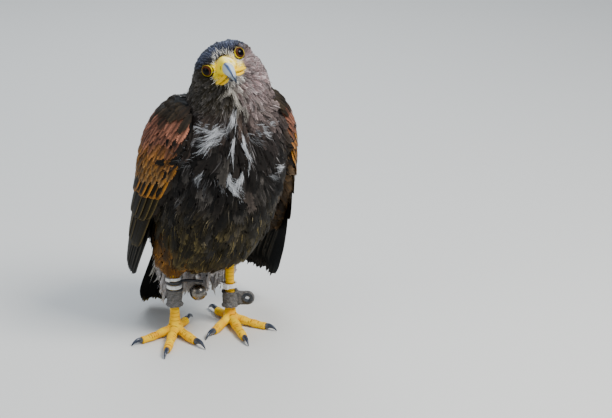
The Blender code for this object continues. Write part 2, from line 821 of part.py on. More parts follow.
def build_claw(name, points, ahead, radius, length):
    """A hooked claw that starts GAP past the toe's end and stops above the floor."""
    tangent = frame_at(points, len(points) - 1)
    start = points[-1] + tangent * GAP
    bend, lift = math.radians(CLAW_BEND), math.radians(CLAW_LIFT)
    curve = length / bend
    path, radii = [], []
    for i in range(CLAW_RINGS):
        s = i / (CLAW_RINGS - 1)
        angle = lift - bend * s
        reach = curve * (math.sin(lift) - math.sin(angle))
        height = curve * (math.cos(angle) - math.cos(lift))
        path.append(start + ahead * reach + Vector((0, 0, height)))
        radii.append(radius * CLAW_STOUT * (1 - s) ** 0.8 + CLAW_POINT)
    lowest = min(p.z - r for p, r in zip(path, radii))
    if lowest < CLAW_FLOOR:
        for i, p in enumerate(path):
            p.z += (CLAW_FLOOR - lowest) * i / (CLAW_RINGS - 1)
    rings = []
    for i, (p, r) in enumerate(zip(path, radii)):
        along = tangent if i == 0 else frame_at(path, i)
        side = ahead.cross(Vector((0, 0, 1))).normalized()
        up = side.cross(along).normalized()
        ring = []
        for j in range(6):
            a = 2 * math.pi * j / 6
            ring.append(p + side * r * 0.85 * math.cos(a) + up * r * math.sin(a))
        rings.append(ring)
    return loft(name, rings, "claw")


def build_tarsus(side):
    points, radii = [], []
    start = FOOT_TOP + GAP
    count = round((TARSUS_TOP - start) / (SCUTE_PITCH / 2))
    for i in range(count + 1):
        height = start + (TARSUS_TOP - start) * i / count
        points.append(Vector((FOOT_X * side, FOOT_Y, height)))
        radii.append(float(between(TARSUS_FORM, height)[0]) * (1.0 if i % 2 else 0.95))
    tube(f"tarsus_{SIDE_NAMES[side]}", points, radii, "yellow_skin", sides=8)


def build_legs():
    for side in (LEFT, RIGHT):
        build_tarsus(side)
        build_foot(side)


# What the bird wears


def leg_matrix(side, heading=0.0, height=0.0):
    """A frame on a leg's axis, with its X turned to heading, measured from straight ahead to the left."""
    turn = math.radians(heading - 90)
    place = Matrix.Translation((FOOT_X * side, FOOT_Y, height))
    return place @ Matrix.Rotation(turn, 4, "Z")


def ring_round_leg(name, side, bottom, top, wall, finish, flare=0.0):
    """A short sleeve on a leg, a little off its skin."""
    inner = LEG_GAP_RADIUS
    profile = [(inner, bottom), (inner + wall + flare, bottom), (inner + wall + flare, top), (inner, top)]
    if flare:
        profile[2:2] = [(inner + wall, bottom + 4), (inner + wall, top - 4)]
    return turned(name, profile, finish, leg_matrix(side), 14, closed_ring=True)


def slab(name, place, size, finish, cut_round=0.0):
    """A flat piece centred on place, its outer end rounded."""
    long, thick, half = size
    outline = [(-long / 2, -half), (long / 2 - cut_round, -half)]
    outline += [
        (long / 2 - cut_round + cut_round * math.sin(a), -half * math.cos(a))
        for a in np.linspace(0.25, math.pi - 0.25, 7) if cut_round
    ]
    outline += [(long / 2 - cut_round, half), (-long / 2, half)]
    rings = [[place @ Vector((x, y, z)) for x, z in outline] for y in (-thick / 2, thick / 2)]
    return loft(name, rings, finish)


def build_anklet(side):
    """A leather cuff whose two ends meet in a tab, with a metal eyelet through the tab."""
    label = SIDE_NAMES[side]
    bottom, top, heading, reach = ANKLET[side]
    cuff = ring_round_leg(f"anklet_{label}", side, bottom, top, ANKLET_WALL, "leather", ANKLET_FLARE)
    frame = leg_matrix(side, heading, (bottom + top) / 2)
    start, end = LEG_GAP_RADIUS + 0.8, LEG_GAP_RADIUS + reach + 4
    place = frame @ Matrix.Translation(((start + end) / 2, 0, 0))
    tab = slab("tab", place, (end - start, TAB_THICK, TAB_HALF), "leather", cut_round=TAB_HALF)
    hole_at = LEG_GAP_RADIUS + reach - 4.4
    eye = frame @ Matrix.Translation((hole_at, 0, 0)) @ Matrix.Rotation(math.pi / 2, 4, "X")
    bore = turned("cut", ((EYELET_BORE + GAP, -9), (EYELET_BORE + GAP, 9)), "leather", eye, 12)
    fuse(cuff, [tab], [bore])
    half = TAB_THICK / 2 + GAP
    deep = EYELET_DEEP / 2
    profile = (
        (EYELET_HOLE, -deep), (EYELET_RIM, -deep + 0.5), (EYELET_RIM, -half), (EYELET_BORE, -half),
        (EYELET_BORE, half), (EYELET_RIM, half), (EYELET_RIM, deep - 0.5), (EYELET_HOLE, deep),
    )
    turned(f"eyelet_{label}", profile, "steel", eye, 12, closed_ring=True)


def bell_matrix():
    return Matrix.Translation(BELL_CENTRE) @ Matrix.Rotation(math.radians(BELL_TILT), 4, "Y")


def build_bell():
    """A round bell with a rim about its waist, a slit below and a collar above."""
    place = bell_matrix()
    profile = []
    for angle in (-84, -60, -36, -14, -6, 6, 14, 36, 60, 84):
        turn = math.radians(angle)
        rim = BELL_RIM if abs(angle) < 8 else 0.0
        profile.append((BELL_RADIUS * math.cos(turn) + rim, BELL_RADIUS * math.sin(turn)))
    bell = turned("bell_right", profile, "steel", place, 12)
    slit = slab("cut", place @ Matrix.Translation((0, 0, -BELL_RADIUS)), BELL_SLIT, "steel")
    ends = ((COLLAR_RADIUS, BELL_RADIUS - 1.5), (COLLAR_RADIUS, BELL_RADIUS + COLLAR_HIGH))
    collar = turned("collar", ends, "steel", place, 8)
    fuse(bell, [collar], [slit])


def build_worn_things():
    for side in (LEFT, RIGHT):
        build_anklet(side)
    rings = {}
    for name, side, bottom, top, wall, finish in BANDS:
        rings[name] = ring_round_leg(name, side, bottom, top, wall, finish)
    build_bell()
    name, side, bottom, top, wall, finish = BANDS[-1]
    start = Vector((FOOT_X * side + LEG_GAP_RADIUS + 0.8, -2, (bottom + top) / 2))
    end = bell_matrix() @ Vector((0, 0, BELL_RADIUS + COLLAR_HIGH + GAP + TONGUE_RADII[1]))
    path = [start, start.lerp(end, 0.5) + Vector((0, -1.0, 1.4)), end, end + (end - start).normalized() * 2.6]
    fuse(rings[name], [tube("tongue", path, TONGUE_RADII, finish, sides=8)])
    for name, heading in CLIPS:
        _, side, bottom, top, wall, finish = next(b for b in BANDS if b[0] == name)
        frame = leg_matrix(side, heading, (bottom + top) / 2)
        place = frame @ Matrix.Translation((LEG_GAP_RADIUS + wall + 0.9, 0, 0))
        fuse(rings[name], [slab("clip", place, (CLIP_THICK, CLIP_WIDE, (top - bottom) / 2 + 0.2), finish)])


def centre_on_floor():
    """Moves the whole bird so that the middle of its box is over the origin and it stands on z = 0."""
    bpy.context.view_layer.update()
    corners = [v.co for o in bpy.context.scene.objects for v in o.data.vertices]
    low = [min(c[i] for c in corners) for i in range(3)]
    high = [max(c[i] for c in corners) for i in range(3)]
    move = Matrix.Translation((-(low[0] + high[0]) / 2, -(low[1] + high[1]) / 2, -low[2]))
    for obj in bpy.context.scene.objects:
        obj.data.transform(move)


def main():
    clear_scene()
    build_head()
    build_trunk()
    build_legs()
    build_tail()
    build_wings()
    build_worn_things()
    centre_on_floor()


main()
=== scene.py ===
"""The looks of a Harris's hawk that stands at ease: its skin, plumage, bill, eyes, legs and what it wears.

Tables are in millimetres in the bird's own frame: it faces -Y, +X is its left side, and its feet stand at
x = +-FOOT_X and y = 0 on the floor. at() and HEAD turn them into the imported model's metres.
"""

import math

import bmesh
import bpy
import numpy as np
from mathutils import Euler, Matrix, Vector
from mathutils.bvhtree import BVHTree
from mathutils.kdtree import KDTree


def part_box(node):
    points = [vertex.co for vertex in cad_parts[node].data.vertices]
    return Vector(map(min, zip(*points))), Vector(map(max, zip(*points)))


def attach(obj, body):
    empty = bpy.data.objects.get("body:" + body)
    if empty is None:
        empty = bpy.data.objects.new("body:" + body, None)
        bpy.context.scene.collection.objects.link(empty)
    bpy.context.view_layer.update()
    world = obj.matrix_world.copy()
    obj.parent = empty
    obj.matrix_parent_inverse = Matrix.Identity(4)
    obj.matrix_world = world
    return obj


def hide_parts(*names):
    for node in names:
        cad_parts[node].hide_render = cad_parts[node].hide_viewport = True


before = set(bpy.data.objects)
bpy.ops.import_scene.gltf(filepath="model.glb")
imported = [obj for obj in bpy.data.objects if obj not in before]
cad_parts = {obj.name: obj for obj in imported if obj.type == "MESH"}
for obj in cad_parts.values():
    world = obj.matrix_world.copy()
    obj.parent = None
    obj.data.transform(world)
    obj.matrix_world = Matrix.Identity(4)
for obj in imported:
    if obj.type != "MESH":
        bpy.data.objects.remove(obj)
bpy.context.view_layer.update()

MM = 0.001
LEFT, RIGHT = 1, -1
SIDE_NAMES = {LEFT: "left", RIGHT: "right"}
FOOT_X = 35

# The photograph's camera: direction, distance, scale at the feet, and the pixel where the feet's middle falls
CAMERA_AZIMUTH, CAMERA_ELEVATION = -28.0, 20.0
CAMERA_DISTANCE = 2.5
METRES_PER_PIXEL = 1.15e-3
PICTURE = (612, 418)
FEET_PIXEL = (203, 328)
SENSOR = 36.0
CAMERA_CLIP = (0.05, 40)
# Lights: name, azimuth, elevation, distance, size, power, colour; all aim at the bird's middle
LIGHT_TARGET = (0, 0, 0.18)
LIGHTS = (
    ("key", 30, 50, 1.7, 0.7, 42, (1.0, 0.97, 0.92)),
    ("sky", -40, 80, 1.8, 1.4, 16, (0.78, 0.88, 1.0)),
    ("fill", -85, 22, 2.0, 1.2, 8, (1.0, 0.96, 0.90)),
    ("back", 160, 38, 1.8, 1.0, 16, (0.88, 0.94, 1.0)),
)
SKY_COLOUR, SKY_STRENGTH = (0.80, 0.88, 1.0), 0.40
FLOOR_REACH, FLOOR_COLOUR, FLOOR_ROUGHNESS = 8, (0.62, 0.62, 0.60), 0.9


def node_middle(name):
    low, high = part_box(name)
    return (low + high) / 2


def feet_middle():
    left, right = node_middle("tarsus_left"), node_middle("tarsus_right")
    return Vector(((left.x + right.x) / 2, (left.y + right.y) / 2, 0))


ORIGIN = feet_middle()


def at(point):
    """A point of the bird's own frame, in metres."""
    return ORIGIN + Vector(point) * MM


def smooth_step(low, high, value):
    """0 at low and 1 at high, with soft ends; low may be the larger."""
    t = np.clip((np.asarray(value, float) - low) / (high - low), 0, 1)
    return t * t * (3 - 2 * t)


def between(stations, heights):
    """The stations' values at heights, on smooth curves through them."""
    table = np.array(stations, float)
    places = table[:, 0]
    slopes = np.gradient(table[:, 1:], places, axis=0)
    heights = np.clip(np.asarray(heights, float), places[0], places[-1])
    i = np.clip(np.searchsorted(places, heights) - 1, 0, len(places) - 2)
    step = (places[i + 1] - places[i])[..., None]
    t = (heights - places[i])[..., None] / step
    start, end = table[i, 1:], table[i + 1, 1:]
    return (
        start * (1 + 2 * t) * (1 - t) ** 2
        + slopes[i] * step * t * (1 - t) ** 2
        + end * t * t * (3 - 2 * t)
        + slopes[i + 1] * step * t * t * (t - 1)
    )


# Camera, floor and light


def direction(azimuth, elevation):
    """The way from the bird towards a place in the studio; azimuth 0 is straight ahead of it."""
    a, e = math.radians(azimuth), math.radians(elevation)
    return Vector((math.sin(a) * math.cos(e), -math.cos(a) * math.cos(e), math.sin(e)))


def camera_axes():
    turn = math.radians(CAMERA_AZIMUTH)
    back = direction(CAMERA_AZIMUTH, CAMERA_ELEVATION)
    right = Vector((math.cos(turn), math.sin(turn), 0))
    return right, back.cross(right), back


def add_object(name, data):
    obj = bpy.data.objects.new(name, data)
    bpy.context.scene.collection.objects.link(obj)
    return obj


def look_along(obj, way):
    obj.rotation_mode = "QUATERNION"
    obj.rotation_quaternion = way.to_track_quat("-Z", "Y")


def camera_place():
    right, up, back = camera_axes()
    across = (FEET_PIXEL[0] - PICTURE[0] / 2) * METRES_PER_PIXEL
    down = (FEET_PIXEL[1] - PICTURE[1] / 2) * METRES_PER_PIXEL
    return ORIGIN + back * CAMERA_DISTANCE - right * across + up * down


def pixel_ray(pixel):
    """The direction from the camera through a pixel of the photograph."""
    right, up, back = camera_axes()
    spread = METRES_PER_PIXEL / CAMERA_DISTANCE
    x = (pixel[0] - PICTURE[0] / 2) * spread
    y = (PICTURE[1] / 2 - pixel[1]) * spread
    return (right * x + up * y - back).normalized()


def make_camera():
    data = bpy.data.cameras.new("camera")
    data.sensor_width = SENSOR
    data.lens = SENSOR * CAMERA_DISTANCE / METRES_PER_PIXEL / PICTURE[0]
    data.clip_start, data.clip_end = CAMERA_CLIP
    camera = add_object("camera", data)
    camera.location = camera_place()
    look_along(camera, -camera_axes()[2])
    bpy.context.scene.camera = camera


def make_light(name, azimuth, elevation, distance, size, power, colour):
    data = bpy.data.lights.new(name, "AREA")
    data.energy, data.size, data.color = power, size, colour
    light = add_object(name, data)
    way = direction(azimuth, elevation)
    light.location = Vector(LIGHT_TARGET) + way * distance
    look_along(light, -way)


def make_stage():
    mesh = bpy.data.meshes.new("floor")
    corners = [(x * FLOOR_REACH, y * FLOOR_REACH, 0) for x, y in ((-1, -1), (1, -1), (1, 1), (-1, 1))]
    mesh.from_pydata(corners, [], [(0, 1, 2, 3)])
    floor = add_object("floor", mesh)
    mesh.materials.append(new_material("floor_paper", FLOOR_COLOUR, FLOOR_ROUGHNESS))
    world = bpy.data.worlds.new("studio")
    bpy.context.scene.world = world
    world.use_nodes = True
    background = world.node_tree.nodes["Background"]
    background.inputs["Color"].default_value = (*SKY_COLOUR, 1)
    background.inputs["Strength"].default_value = SKY_STRENGTH
    for light in LIGHTS:
        make_light(*light)


# Materials


def new_material(name, colour, roughness, **settings):
    """A Principled material; further settings are the shader's sockets, with _ for a space."""
    made = bpy.data.materials.new(name)
    made.use_nodes = True
    values = {"Base_Color": (*colour, 1), "Roughness": roughness, **settings}
    for key, value in values.items():
        shader_input(made, key.replace("_", " ")).default_value = value
    return made


def shader_input(made, name):
    return made.node_tree.nodes["Principled BSDF"].inputs[name]


def add_node(made, kind, **settings):
    node = made.node_tree.nodes.new(kind)
    for key, value in settings.items():
        if key in node.inputs:
            node.inputs[key].default_value = value
        else:
            setattr(node, key, value)
    return node


def link(made, start, end):
    made.node_tree.links.new(start, end)


def noise(made, scale, detail=3.0, rough=0.5):
    """A noise in the object's own space."""
    where = add_node(made, "ShaderNodeTexCoord")
    texture = add_node(made, "ShaderNodeTexNoise", Scale=scale, Detail=detail, Roughness=rough)
    link(made, where.outputs["Object"], texture.inputs["Vector"])
    return texture.outputs["Fac"]


def painted_colour(made):
    return add_node(made, "ShaderNodeVertexColor", layer_name="coat").outputs["Color"]


def mottle(made, texture, *stops):
    """The painted colour, darkened and lightened by a texture."""
    node = add_node(made, "ShaderNodeMixRGB", blend_type="MULTIPLY", Fac=1.0)
    link(made, painted_colour(made), node.inputs["Color1"])
    link(made, ramp(made, texture, stops), node.inputs["Color2"])
    link(made, node.outputs["Color"], shader_input(made, "Base Color"))


def ramp(made, factor, stops):
    node = add_node(made, "ShaderNodeValToRGB")
    elements = node.color_ramp.elements
    while len(elements) < len(stops):
        elements.new(0.5)
    for element, (place, colour) in zip(elements, stops):
        element.position = place
        element.color = (*colour, 1)
    link(made, factor, node.inputs["Fac"])
    return node.outputs["Color"]


def set_bump(made, height, strength, distance=0.0004):
    node = add_node(made, "ShaderNodeBump", Strength=strength, Distance=distance)
    link(made, height, node.inputs["Height"])
    link(made, node.outputs["Normal"], shader_input(made, "Normal"))


def plumage_material(name, roughness, barb_scale, specular=0.2):
    """Feathers: their own painted colour, broken by fine barbs."""
    made = new_material(name, (0.05, 0.04, 0.03), roughness, Specular_IOR_Level=specular)
    barbs = noise(made, barb_scale, 2.0)
    mottle(made, barbs, (0.3, (0.62, 0.62, 0.62)), (0.7, (1.25, 1.25, 1.25)))
    set_bump(made, barbs, 0.5, 0.0005)
    return made


def painted_material(name, roughness, grain_scale=0, grain_depth=0, coat=0.0, specular=0.5):
    """A finish that takes its colour from the mesh's paint, with a fine grain."""
    made = new_material(name, (0.5, 0.5, 0.5), roughness, Coat_Weight=coat, Coat_Roughness=0.03,
                        Specular_IOR_Level=specular)
    link(made, painted_colour(made), shader_input(made, "Base Color"))
    if grain_depth:
        set_bump(made, noise(made, grain_scale), grain_depth, 0.0003)
    return made


def leather_material():
    """Worn suede: mottled grey-brown with a rough nap."""
    made = new_material("suede", (0.12, 0.10, 0.08), 0.95)
    nap = noise(made, 1400, 4.0, rough=0.7)
    mottle(made, nap, (0.32, (0.45, 0.43, 0.42)), (0.68, (1.35, 1.32, 1.28)))
    set_bump(made, nap, 0.9, 0.0009)
    return made


def worn_material(name, fresh, worn, smooth, rough, metallic=0.0, scale=260, bump=0.0):
    """A surface that is dull in patches: its colour and roughness where it is fresh and where it is worn."""
    made = new_material(name, fresh, smooth, Metallic=metallic)
    wear = noise(made, scale)
    link(made, ramp(made, wear, ((0.35, (smooth,) * 3), (0.7, (rough,) * 3))),
         shader_input(made, "Roughness"))
    link(made, ramp(made, wear, ((0.3, fresh), (0.75, worn))), shader_input(made, "Base Color"))
    if bump:
        set_bump(made, noise(made, scale * 4, 2.0), bump)
    return made


# Meshes


def mesh_object(name, points, faces, finish):
    mesh = bpy.data.meshes.new(name)
    mesh.from_pydata([tuple(p) for p in points], [], faces)
    mesh.update()
    mesh.shade_smooth()
    mesh.materials.append(finish)
    return add_object(name, mesh)


def array_mesh(name, points, quads, finish, colours, uvs=None):
    """A mesh of many quads from arrays: points (n, 3), quads (m, 4), a colour and a UV for each point."""
    mesh = bpy.data.meshes.new(name)
    mesh.vertices.add(len(points))
    set_points(mesh, points)
    mesh.loops.add(quads.size)
    mesh.loops.foreach_set("vertex_index", quads.astype(np.int32).ravel())
    mesh.polygons.add(len(quads))
    mesh.polygons.foreach_set("loop_start", np.arange(0, quads.size, 4, dtype=np.int32))
    mesh.update(calc_edges=True)
    mesh.shade_smooth()
    paint(mesh, colours)
    if uvs is not None:
        layer = mesh.uv_layers.new(name="OFBake")
        layer.data.foreach_set("uv", np.asarray(uvs, np.float32)[quads.ravel()].ravel())
    mesh.materials.append(finish)
    return add_object(name, mesh)


def paint(mesh, colours):
    """Gives a mesh its painted colour: one for each point, or one for all."""
    layer = mesh.color_attributes.new("coat", "FLOAT_COLOR", "POINT")
    full = np.ones((len(mesh.vertices), 4), np.float32)
    full[:, :3] = colours
    layer.data.foreach_set("color", full.ravel())


def vectors_of(items, name):
    flat = np.empty(len(items) * 3, np.float32)
    items.foreach_get(name, flat)
    return flat.reshape(-1, 3).astype(float)


def points_of(mesh):
    return vectors_of(mesh.vertices, "co")


def normals_of(mesh):
    return vectors_of(mesh.vertex_normals, "vector")


def set_points(mesh, points):
    mesh.vertices.foreach_set("co", np.asarray(points, np.float32).ravel())


def neighbours(count, close):
    """Pairs of neighbours in a row of count, the last with the first where it closes."""
    return [(i, (i + 1) % count) for i in range(count if close else count - 1)]


def grid_faces(rows, columns, close_rows=False, close_columns=True):
    """The quads between points given row by row."""
    return [
        (i * columns + j, i * columns + k, n * columns + k, n * columns + j)
        for i, n in neighbours(rows, close_rows) for j, k in neighbours(columns, close_columns)
    ]


def turns(count):
    """Angles all the way round, in radians."""
    return np.linspace(0, 2 * math.pi, count, False)


def apply_modifiers(obj):
    graph = bpy.context.evaluated_depsgraph_get()
    mesh = bpy.data.meshes.new_from_object(obj.evaluated_get(graph))
    old = obj.data
    obj.modifiers.clear()
    obj.data = mesh
    bpy.data.meshes.remove(old)


def unit(vectors):
    return vectors / np.maximum(np.linalg.norm(vectors, axis=-1, keepdims=True), 1e-9)


def loft(name, rings, finish):
    """A closed form through rings of as many points each."""
    count = len(rings[0])
    last = (len(rings) - 1) * count
    ends = [tuple(range(count - 1, -1, -1)), tuple(range(last, last + count))]
    return mesh_object(name, [p for ring in rings for p in ring], grid_faces(len(rings), count) + ends,
                       finish)


# Head frame

HEAD_CENTRE = (4, -55, 328.5)
HEAD_TURN, HEAD_RAISE, HEAD_ROLL = -20, 12, -27
EYE_CENTRE = (17.3, -20.5, 5)
EYE_AIM = (0.60, -0.79, 0.06)
EYE_RIM = 6.2
BILL_BASE = (0.0, -38.0, -4.0)
FACE_MIDDLE = (0, -22, 2)


def head_matrix():
    turn = Euler((0, 0, math.radians(HEAD_TURN))).to_matrix()
    raise_up = Euler((math.radians(-HEAD_RAISE), 0, 0)).to_matrix()
    roll = Euler((0, math.radians(HEAD_ROLL), 0)).to_matrix()
    scale = Matrix.Scale(MM, 4)
    return Matrix.Translation(at(HEAD_CENTRE)) @ (turn @ raise_up @ roll).to_4x4() @ scale


HEAD = head_matrix()
HEAD_INVERSE = np.array(HEAD.inverted())


def in_head(points):
    """Points given in the model's metres, in the head's own frame, in millimetres."""
    return points @ HEAD_INVERSE[:3, :3].T + HEAD_INVERSE[:3, 3]


def mirrored(vector, side):
    return Vector((vector[0] * side, vector[1], vector[2]))


# Skin

FLESH = ("torso", "neck", "head", "thigh_left", "thigh_right")
SKIN_VOXEL = 2.4
SKIN_GROW = 0.5
SKIN_SMOOTHING = 10
# How far the skin lies inside the solids: on the face, on the body, and how far from the face it deepens
COAT_DEPTH_FACE, COAT_DEPTH_BODY = 1.2, 4.5
COAT_DEEPENS = (22, 62)


def coat_depth(points):
    """The plumage's depth at points, in metres."""
    from_face = np.linalg.norm(in_head(points) - np.array(FACE_MIDDLE), axis=1)
    return (COAT_DEPTH_FACE + (COAT_DEPTH_BODY - COAT_DEPTH_FACE) * smooth_step(*COAT_DEEPENS,
                                                                                from_face)) * MM


def build_skin(finish):
    grown = []
    for node in FLESH:
        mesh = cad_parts[node].data.copy()
        set_points(mesh, points_of(mesh) + normals_of(mesh) * SKIN_GROW * MM)
        grown.append(mesh)
    skin = closed_hull("skin", grown, SKIN_VOXEL * MM, SKIN_SMOOTHING)
    for mesh in grown:
        bpy.data.meshes.remove(mesh)
    points, normals = points_of(skin.data), normals_of(skin.data)
    set_points(skin.data, points - normals * (coat_depth(points) + SKIN_GROW * MM)[:, None])
    skin.data.update()
    skin.data.materials.append(finish)
    skin.data.shade_smooth()
    unwrap(skin)
    return dress(skin, FLESH)


def closed_hull(name, meshes, voxel, smoothing):
    """One smooth closed mesh round several overlapping ones."""
    work = bmesh.new()
    for mesh in meshes:
        work.from_mesh(mesh)
    mesh = bpy.data.meshes.new(name)
    work.to_mesh(mesh)
    work.free()
    mesh.materials.clear()
    obj = add_object(name, mesh)
    remesh = obj.modifiers.new("remesh", "REMESH")
    remesh.mode, remesh.voxel_size, remesh.adaptivity = "VOXEL", voxel, 0.0
    smooth = obj.modifiers.new("smooth", "SMOOTH")
    smooth.factor, smooth.iterations = 0.5, smoothing
    apply_modifiers(obj)
    largest_piece(obj.data)
    return obj


def largest_piece(mesh):
    """Keeps only the largest connected piece of a mesh."""
    work = bmesh.new()
    work.from_mesh(mesh)
    left = set(work.verts)
    pieces = []
    while left:
        start = left.pop()
        found, front = {start}, [start]
        while front:
            for edge in front.pop().link_edges:
                for vert in edge.verts:
                    if vert in left:
                        left.discard(vert)
                        found.add(vert)
                        front.append(vert)
        pieces.append(found)
    pieces.sort(key=len)
    bmesh.ops.delete(work, geom=[v for found in pieces[:-1] for v in found], context="VERTS")
    work.to_mesh(mesh)
    work.free()


def unwrap(obj):
    """Unwraps an object's own shape into the UV map that the coat is baked through."""
    while obj.data.uv_layers:
        obj.data.uv_layers.remove(obj.data.uv_layers[0])
    obj.data.uv_layers.new(name="OFBake")
    bpy.context.view_layer.objects.active = obj
    obj.select_set(True)
    bpy.ops.object.mode_set(mode="EDIT")
    bpy.ops.mesh.select_all(action="SELECT")
    bpy.ops.uv.smart_project(angle_limit=math.radians(66), island_margin=0.004)
    bpy.ops.object.mode_set(mode="OBJECT")
    obj.select_set(False)


class Surface:
    """A mesh as arrays, with a search tree, so that feathers can be rooted on it and laid along it."""

    def __init__(self, obj):
        mesh = obj.data
        mesh.calc_loop_triangles()
        count = len(mesh.loop_triangles)
        corners, loops = np.empty(count * 3, np.int32), np.empty(count * 3, np.int32)
        mesh.loop_triangles.foreach_get("vertices", corners)
        mesh.loop_triangles.foreach_get("loops", loops)
        uvs = np.empty(len(mesh.loops) * 2, np.float32)
        mesh.uv_layers["OFBake"].data.foreach_get("uv", uvs)
        self.points, self.normals = points_of(mesh), normals_of(mesh)
        self.corners = corners.reshape(-1, 3)
        self.corner_uvs = uvs.reshape(-1, 2)[loops.reshape(-1, 3)]
        self.tree = BVHTree.FromPolygons([tuple(p) for p in self.points],
                                         [tuple(t) for t in self.corners.tolist()])

    def scatter(self, spacing, seed):
        """Roots over the surface, no two nearer than spacing(points): points, normals and UVs."""
        rng = np.random.default_rng(seed)
        a, b, c = (self.points[self.corners[:, i]] for i in range(3))
        area = np.linalg.norm(np.cross(b - a, c - a), axis=1) / 2
        wanted = area / spacing((a + b + c) / 3) ** 2
        count = int(wanted.sum() * DARTS)
        chosen = rng.choice(len(area), count, p=wanted / wanted.sum())
        weights = rng.dirichlet((1, 1, 1), count)
        corners = self.corners[chosen]
        points = np.einsum("nk,nkd->nd", weights, self.points[corners])
        normals = unit(np.einsum("nk,nkd->nd", weights, self.normals[corners]))
        uvs = np.einsum("nk,nkd->nd", weights, self.corner_uvs[chosen])
        tree = KDTree(count)
        for i, point in enumerate(points):
            tree.insert(point, i)
        tree.balance()
        kept, free = [], np.ones(count, bool)
        reach = spacing(points)
        for i in range(count):
            if free[i]:
                kept.append(i)
                for _, j, _ in tree.find_range(points[i], reach[i]):
                    free[j] = False
        return points[kept], normals[kept], uvs[kept]

    def uv_at(self, points):
        """The unwrap's UV at the surface's nearest point to each point."""
        found = np.empty((len(points), 2))
        for i, point in enumerate(points):
            place, _, face, _ = self.tree.find_nearest(Vector(point))
            a, b, c = self.points[self.corners[face]]
            place = np.array(place)
            areas = [np.linalg.norm(np.cross(p - place, q - place)) for p, q in ((b, c), (c, a), (a, b))]
            found[i] = np.average(self.corner_uvs[face], axis=0, weights=np.array(areas) + 1e-12)
        return found

    def lay(self, roots, normals, lengths, way, steps=4):
        """Shafts that follow the surface from their roots: points and normals, each (n, steps + 1, 3)."""
        points, ups = [roots], [normals]
        for step in range(steps):
            heading = way(points[-1], ups[-1])
            ahead = points[-1] + heading * (lengths / steps)[:, None]
            landed, facing = np.empty_like(ahead), np.empty_like(ahead)
            for i, point in enumerate(ahead):
                place, normal, _, _ = self.tree.find_nearest(Vector(point))
                landed[i], facing[i] = place, normal
            points.append(landed)
            ups.append(unit(facing + ups[-1]))
        return np.stack(points, 1), np.stack(ups, 1)


# Feathers


def contour_pattern(rows, barbs, solid_share, reach):
    """A body feather laid flat: a closed middle and loose barbs down both edges and at the tip.

    Gives for each point its place along the shaft (0 to 1), its place across (in half widths) and how loose
    it is, and the quads between them.
    """
    along, across, loose, quads = [], [], [], []

    def point(t, u, free):
        along.append(t)
        across.append(u)
        loose.append(free)
        return len(along) - 1

    def half_width(t):
        taper = 1 if t < 0.7 else 1 - 0.9 * (t - 0.7) ** 1.2
        return max(0.16, math.sin(math.pi * min(1.0, 0.16 + 0.60 * t)) ** 0.9 * taper)

    places = [(i / rows) ** 0.85 for i in range(rows + 1)]
    spine = [[point(t, u * half_width(t) * solid_share, 0) for u in (-1, 0, 1)] for t in places]
    for a, b in zip(spine, spine[1:]):
        quads += [(a[0], a[1], b[1], b[0]), (a[1], a[2], b[2], b[1])]
    inner = solid_share * 0.8
    for side in (-1, 1):
        for i in range(barbs):
            start, end = i / barbs, (i + 1.25) / barbs
            root, width = 0.12 + 0.84 * start, 0.84 * (end - start)
            tip = root + width + reach
            free = half_width(min(tip, 1))
            quads.append((
                point(root, side * half_width(root) * inner, 0.1),
                point(min(root + width, 1), side * half_width(min(root + width, 1)) * inner, 0.1),
                point(tip, side * free * 0.96, 1),
                point(tip - width * 0.35, side * free * 1.06, 1),
            ))
    for u in (-0.14, 0.1):
        quads.append((
            point(0.86, u - 0.10, 0.1),
            point(0.86, u + 0.12, 0.1),
            point(1.04 + reach, u * 1.8 + 0.07, 1),
            point(1.05 + reach, u * 1.8 - 0.05, 1),
        ))
    return np.array(along), np.array(across), np.array(loose), np.array(quads)


def vane_pattern(rows, columns, root_width, tip_start, tip_width):
    """A flight feather or covert laid flat: a closed vane with a round tip, as contour_pattern gives it."""
    along, across, loose = [], [], []
    for i in range(rows + 1):
        t = 1 - (1 - i / rows) ** 1.5
        wide = root_width + (1 - root_width) * min(1.0, t / 0.35)
        if t > tip_start:
            share = (t - tip_start) / (1 - tip_start)
            wide *= tip_width + (1 - tip_width) * math.sqrt(max(0.0, 1 - share**2.4))
        for j in range(columns + 1):
            u = 2 * j / columns - 1
            along.append(t - 0.045 * abs(u) * t)
            across.append(u * wide)
            loose.append(0.35 * abs(u) ** 3 * t + (0.5 if i == rows else 0))
    quads = grid_faces(rows + 1, columns + 1, close_columns=False)
    return np.array(along), np.array(across), np.array(loose), np.array(quads)


def along_shafts(shafts, places):
    """Points of (n, k, 3) polylines at places (n, v) from 0 to 1, going on straight past the end."""
    last = shafts.shape[1] - 1
    scaled = np.clip(places, 0, None) * last
    index = np.clip(scaled.astype(int), 0, last - 1)
    share = (scaled - index)[..., None]
    rows = np.arange(len(shafts))[:, None]
    return shafts[rows, index] * (1 - share) + shafts[rows, index + 1] * share


